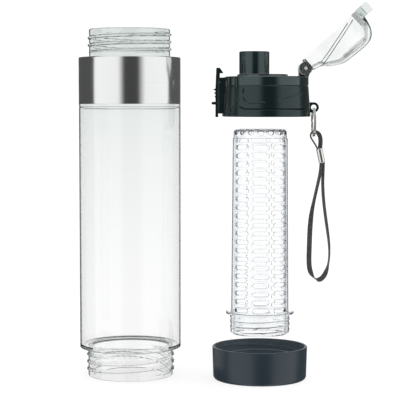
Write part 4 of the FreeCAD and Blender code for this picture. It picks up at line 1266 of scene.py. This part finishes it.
def spline_line(route):
    """Points of the smooth line whose control points are a strap route's."""
    curve = bpy.data.curves.new("route", "CURVE")
    curve.dimensions = "3D"
    curve.resolution_u = ROUTE_RESOLUTION
    spline = curve.splines.new("NURBS")
    spline.points.add(len(route) - 1)
    for point, (x, z) in zip(spline.points, route):
        point.co = (STRAP_TOP.x + x, 0, STRAP_TOP.z + z, 1)
    spline.order_u = 3
    spline.use_endpoint_u = True
    holder = bpy.data.objects.new("route", curve)
    mesh = bpy.data.meshes.new_from_object(holder)
    line = [vertex.co.copy() for vertex in mesh.vertices]
    bpy.data.objects.remove(holder)
    bpy.data.curves.remove(curve)
    bpy.data.meshes.remove(mesh)
    return line


def line_length(line):
    return sum((end - start).length for start, end in zip(line, line[1:]))


def twist(turns, share):
    """A band's turn about its own line, smoothly between the turns that it shows along its length."""
    for (start, first), (end, last) in zip(turns, turns[1:]):
        if share <= end:
            return math.radians(blend(first, last, ease((share - start) / (end - start))))


def ribbon(name, line, turns):
    """Flat strap along a line in the XZ plane."""
    section = oval(STRAP_WIDTH / 2, STRAP_THICKNESS / 2)
    rings = []
    for index, point in enumerate(line):
        before = line[max(index - 1, 0)]
        after = line[min(index + 1, len(line) - 1)]
        onward = (after - before).normalized()
        normal = Vector((onward.z, 0, -onward.x))
        angle = twist(turns, index / (len(line) - 1))
        wide = Vector((0, 1, 0)) * math.cos(angle) + normal * math.sin(angle)
        thick = onward.cross(wide)
        rings.append([point + wide * across + thick * through for across, through in section])
    return swept(name, rings)


def make_ferrule(material):
    """Crimped metal sleeve round the strap's ends."""
    down = Vector((math.sin(FERRULE_LEAN), 0, -math.cos(FERRULE_LEAN)))
    across = Vector((down.z, 0, -down.x))
    rings = []
    for share, scale in FERRULE_SHARES:
        place = FERRULE_TOP + down * FERRULE_LENGTH * share
        section = oval(FERRULE_HALF_WIDTH * scale, FERRULE_HALF_DEPTH * scale, FERRULE_SIDES, FERRULE_POWER)
        rings.append([place + across * x + Vector((0, y, 0)) for x, y in section])
    return dress(swept("strap_sleeve", rings), "strap", "bright_steel", material, "strap_ferrule")


def make_strap(webbing, steel):
    """Cord loop through the ring, crimped sleeve and twisted wrist webbing."""
    ferrule = make_ferrule(steel)
    for name, route, turns, node, held in (
        ("strap_cord", LOOP_ROUTE, LOOP_TURNS, "strap_loop", {}),
        ("strap_band", WEBBING_ROUTE, WEBBING_TURNS, "strap_webbing", {"with_pieces": [ferrule]}),
    ):
        line = spline_line(route)
        strand = dress(ribbon(name, line, turns), "strap", "webbing", webbing, node)
        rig.cord(strand, exit=line[0], length=line_length(line), diameter=STRAP_WIDTH, far_end="object",
                stiffness="limp", lay="hanging", path=line, **held)


def fill(node, *values, **named):
    """Set a node's sockets in order, then sockets and settings by name; outputs of other nodes are wired in."""
    sockets = list(enumerate(values))
    for key, value in named.items():
        if key.replace("_", " ") in node.inputs:
            sockets.append((key.replace("_", " "), value))
        else:
            setattr(node, key, value)
    for socket, value in sockets:
        if isinstance(value, bpy.types.NodeSocket):
            node.id_data.links.new(value, node.inputs[socket])
        else:
            node.inputs[socket].default_value = value


def adder(tree):
    """A function that adds a filled node to a tree and gives back its first output, or the one named."""
    def add(kind, *values, output=0, **named):
        node = tree.nodes.new("ShaderNode" + kind)
        fill(node, *values, **named)
        return node.outputs[output]

    return add


def new_material(name):
    """A material with its shader and a function that adds nodes to it."""
    material = bpy.data.materials.new(name)
    material.use_nodes = True
    return material, material.node_tree.nodes["Principled BSDF"], adder(material.node_tree)


def scaled(colour, factor):
    """A colour made darker or lighter."""
    return [value * factor for value in colour[:3]] + [1]


def clear_material(name, haze, absorbed, density, face, edge, rim_span, painted_top_shade=None):
    """Polished clear plastic: a faint uneven haze, some light lost on the way through, and painted shade on its edges.

    rim_span is how far a face is turned away where its painted edge shade starts and where it is full.
    The last argument, if given, is a painted shade: the colour that the faces darken to from the bottle's lower
    shoulder up to its mouth.
    """
    material, shader, add = new_material(name)
    place = add("TexCoord", output="Object")
    cloud = add("TexNoise", Vector=place, Scale=60, Detail=3)
    # Painted shade: the edge colour is mixed in on faces turned away from the eye and on faces that mark_edges marks
    # dark
    facing = add("LayerWeight", output="Facing")
    rim = add("MapRange", facing, *rim_span, interpolation_type="SMOOTHSTEP")
    mark = add("Attribute", output="Fac", attribute_name=EDGE_MARK)
    share = add("Math", rim, mark, operation="ADD", use_clamp=True)
    # Painted shade: the bottle's faces darken from its lower shoulder up to its mouth
    if painted_top_shade:
        height = add("SeparateXYZ", place, output="Z")
        rise = add("MapRange", height, BASE_SHOULDER, BOTTLE_TOP)
        eased = add("Math", rise, FADE_POWER, operation="POWER")
        face = add("MixRGB", eased, face, painted_top_shade)
    fill(
        shader, Transmission_Weight=1, IOR=CLEAR_IOR,
        Roughness=add("MapRange", cloud, To_Min=0, To_Max=haze),
        Base_Color=add("MixRGB", share, face, edge))
    absorption = add("VolumeAbsorption", Color=absorbed, Density=density)
    fill(material.node_tree.nodes["Material Output"], Volume=absorption)
    return material


def grained(shader, add, relief, strength, source, rough, spread, dark, light):
    """Fill a shader with the relief of one texture, and with gloss and colour that follow another."""
    fill(
        shader,
        Normal=add("Bump", Height=relief, Strength=strength, Distance=BUMP_DEPTH),
        Roughness=add("MapRange", source, To_Min=rough * (1 - spread), To_Max=rough * (1 + spread)),
        Base_Color=add("MixRGB", source, dark, light))


def plastic_material(name, colour, rough, grain, ior=1.5, tint=WHITE):
    """Moulded plastic with a fine grain and a slight unevenness of gloss."""
    material, shader, add = new_material(name)
    place = add("TexCoord", output="Object")
    fine = add("TexNoise", Vector=place, Scale=2600, Detail=2)
    broad = add("TexNoise", Vector=place, Scale=45, Detail=4)
    fill(shader, IOR=ior, Specular_Tint=tint)
    dark, light = scaled(colour, 1 - SHADE_SPREAD), scaled(colour, 1 + SHADE_SPREAD)
    grained(shader, add, fine, grain, broad, rough, GLOSS_SPREAD, dark, light)
    return material


def steel_material(name, colour, rough, brush):
    """Metal with fine lines round its axis."""
    material, shader, add = new_material(name)
    place = add("TexCoord", output="Object")
    stretch = add("Mapping", Vector=place, Scale=BRUSH_STRETCH)
    lines = add("TexNoise", Vector=stretch, Scale=1, Detail=4)
    fill(shader, Metallic=1)
    grained(shader, add, lines, brush, lines, rough, BRUSH_SPREAD, scaled(colour, BRUSH_DARK), colour)
    return material


def weave_material(name, colour):
    """Tightly woven polyester: two crossed sets of ridges."""
    material, shader, add = new_material(name)
    place = add("TexCoord", output="Object")
    waves = [
        add("TexWave", output="Fac", Vector=place, bands_direction=way, Scale=420, Distortion=0.6, Detail=1)
        for way in ("DIAGONAL", "Z")
    ]
    cross = add("Math", *waves, operation="MULTIPLY")
    fill(
        shader, Roughness=0.85, Sheen_Weight=0.3,
        Normal=add("Bump", Height=cross, Strength=0.6, Distance=WEAVE_DEPTH),
        Base_Color=add("MixRGB", cross, scaled(colour, WEAVE_DARK), scaled(colour, WEAVE_LIGHT)))
    return material


def grey_ramp(add, angle, stops, half_turn):
    """Grey by an angle between -half_turn and half_turn, from (angle in degrees, brightness) stops."""
    share = add("MapRange", angle, -half_turn, half_turn)
    colour = add("ValToRGB", share)
    ramp = colour.node.color_ramp
    while len(ramp.elements) < len(stops):
        ramp.elements.new(0.5)
    for element, (degrees, brightness) in zip(ramp.elements, stops):
        element.position = math.radians(degrees) / (2 * half_turn) + 0.5
        element.color = (brightness, brightness, brightness, 1)
    return colour


def make_world():
    """White surroundings, with two tall softboxes and dark gaps in what shiny surfaces mirror."""
    world = bpy.data.worlds.new("studio")
    bpy.context.scene.world = world
    world.use_nodes = True
    world.node_tree.nodes.clear()
    add = adder(world.node_tree)
    way = add("SeparateXYZ", add("TexCoord", output="Generated")).node.outputs
    front = add("Math", way["Y"], -1, operation="MULTIPLY")
    azimuth = add("Math", way["X"], front, operation="ARCTAN2")
    softboxes = grey_ramp(add, azimuth, SOFTBOXES, math.pi)
    overhead = add("MapRange", way["Z"], OVERHEAD_START, OVERHEAD_FULL)
    mirrored = add("MixRGB", overhead, softboxes, WHITE)
    rise = add("Math", way["Z"], operation="ARCSINE")
    studio = add("Background", mirrored)
    backdrop = add("Background", grey_ramp(add, rise, BACKDROP, math.pi / 2))
    white = add("Background", WHITE, WHITE_STRENGTH)
    through = add("LightPath", output="Is Transmission Ray")
    glossy = through.node.outputs["Is Glossy Ray"]
    mirror = add("Math", glossy, through, operation="SUBTRACT", use_clamp=True)
    seen = add("MixShader", through, white, backdrop)
    mix = add("MixShader", mirror, seen, studio)
    fill(world.node_tree.nodes.new("ShaderNodeOutputWorld"), Surface=mix)


def make_floor():
    """Wide white floor under the object."""
    mesh = bpy.data.meshes.new("floor")
    corners = [(-1, -1), (1, -1), (1, 1), (-1, 1)]
    mesh.from_pydata([(x * FLOOR_HALF, y * FLOOR_HALF, 0) for x, y in corners], [], [(0, 1, 2, 3)])
    floor = link_mesh("floor", mesh)
    material, shader, add = new_material("floor_white")
    paper = add("TexNoise", Scale=90, Detail=2)
    shade = add("MixRGB", paper, scaled(WHITE, FLOOR_DARK), scaled(WHITE, FLOOR_LIGHT))
    fill(shader, Roughness=1, Specular_IOR_Level=0, Emission_Color=WHITE, Emission_Strength=FLOOR_GLOW,
         Base_Color=shade)
    floor.data.materials.append(material)
    floor.visible_glossy = False
    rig.stage(floor)


def make_camera():
    """Long lens a little above the middle of the object, looking slightly down."""
    data = bpy.data.cameras.new("camera")
    data.lens = CAMERA_LENS
    camera = bpy.data.objects.new("camera", data)
    camera.location = CAMERA_PLACE
    camera.rotation_euler = (CAMERA_AIM - CAMERA_PLACE).to_track_quat("-Z", "Y").to_euler()
    bpy.context.scene.collection.objects.link(camera)
    bpy.context.scene.camera = camera


# Each clear material's edge colour is painted shade for faces turned away from the eye and for marked faces
bottle_clear = clear_material(
    "clear_plastic_bottle", haze=0.008, absorbed=(0.2, 0.29, 0.28, 1), density=18, rim_span=(0.7, 0.79),
    face=(0.985, 0.985, 0.982, 1), edge=(0.04, 0.046, 0.046, 1), painted_top_shade=(0.835, 0.86, 0.855, 1))
infuser_clear = clear_material(
    "clear_plastic_infuser", haze=0.01, absorbed=(0.2, 0.3, 0.36, 1), density=22, rim_span=(0.58, 0.78),
    face=(0.985, 0.99, 0.995, 1), edge=(0.07, 0.09, 0.12, 1))
crown_clear = clear_material(
    "clear_plastic_crown", haze=0.01, absorbed=(0.2, 0.3, 0.36, 1), density=16, rim_span=(0.6, 0.86),
    face=(0.985, 0.99, 0.995, 1), edge=(0.09, 0.11, 0.14, 1))
cover_clear = clear_material(
    "clear_plastic_cover", haze=0.008, absorbed=(0.22, 0.34, 0.3, 1), density=36, rim_span=(0.55, 0.82),
    face=(0.985, 0.99, 0.988, 1), edge=(0.07, 0.09, 0.085, 1))
clear_silicone = clear_material(
    "silicone_clear", haze=0.05, absorbed=(0.5, 0.5, 0.5, 1), density=10, rim_span=(0.6, 0.86),
    face=(0.98, 0.98, 0.98, 1), edge=(0.5, 0.52, 0.52, 1))
lid_plastic = plastic_material(
    "lid_plastic_satin", (0.004, 0.0095, 0.01, 1), rough=0.22, grain=0.04, ior=1.48, tint=LID_GLOSS_TINT)
lid_gloss = plastic_material(
    "lid_plastic_gloss", (0.005, 0.0115, 0.012, 1), rough=0.13, grain=0.004, ior=1.66, tint=LID_GLOSS_TINT)
spout_plastic = plastic_material(
    "spout_plastic_gloss", (0.006, 0.0135, 0.0135, 1), rough=0.15, grain=0.004, ior=1.62, tint=LID_GLOSS_TINT)
# A darker, duller copy of the lid plastic: painted shade in the lid's swoosh grooves
lid_groove_shade = plastic_material("lid_plastic_groove_shade", (0.002, 0.004, 0.004, 1), rough=0.8, grain=0.04, ior=1.1)
cap_plastic = plastic_material("cap_plastic_satin", (0.014, 0.025, 0.036, 1), rough=0.33, grain=0.04, ior=1.45)
# A lighter copy of the cap's plastic, painted light for the cap's inside
cap_inside_lit = plastic_material("cap_plastic_inside_lit", (0.078, 0.105, 0.125, 1), rough=0.6, grain=0.04, ior=1.35)
silicone = plastic_material("silicone_white", (0.78, 0.78, 0.77, 1), rough=0.6, grain=0.05)
brushed_steel = steel_material("steel_brushed", (0.71, 0.72, 0.715, 1), rough=0.15, brush=0.05)
bright_steel = steel_material("steel_bright", (0.76, 0.75, 0.71, 1), rough=0.2, brush=0.01)
satin_steel = steel_material("steel_satin", (0.9, 0.89, 0.87, 1), rough=0.6, brush=0.01)
webbing = weave_material("webbing_woven", (0.06, 0.064, 0.066, 1))

make_bottle(bottle_clear)
make_band(brushed_steel)
make_base_cap(cap_plastic, cap_inside_lit)
make_basket(infuser_clear)
make_crown(crown_clear)
make_lid(lid_plastic, lid_gloss, lid_groove_shade)
make_lid_fittings(lid_plastic)
make_spout(spout_plastic)
make_cover(cover_clear)
make_small_parts(silicone, clear_silicone, lid_plastic, bright_steel, satin_steel)
make_strap_ring(bright_steel)
make_strap(webbing, bright_steel)
make_world()
make_floor()
make_camera()
bpy.context.scene.view_settings.view_transform = "Standard"
for bounces in ("max_bounces", "glossy_bounces", "transmission_bounces", "transparent_max_bounces"):
    setattr(bpy.context.scene.cycles, bounces, CLEAR_BOUNCES)

with open("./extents.json", "w") as sizes:
    json.dump({"cad": [list(corner) for corner in CAD_BOX], "visual": [list(corner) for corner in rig.bounds()]}, sizes)
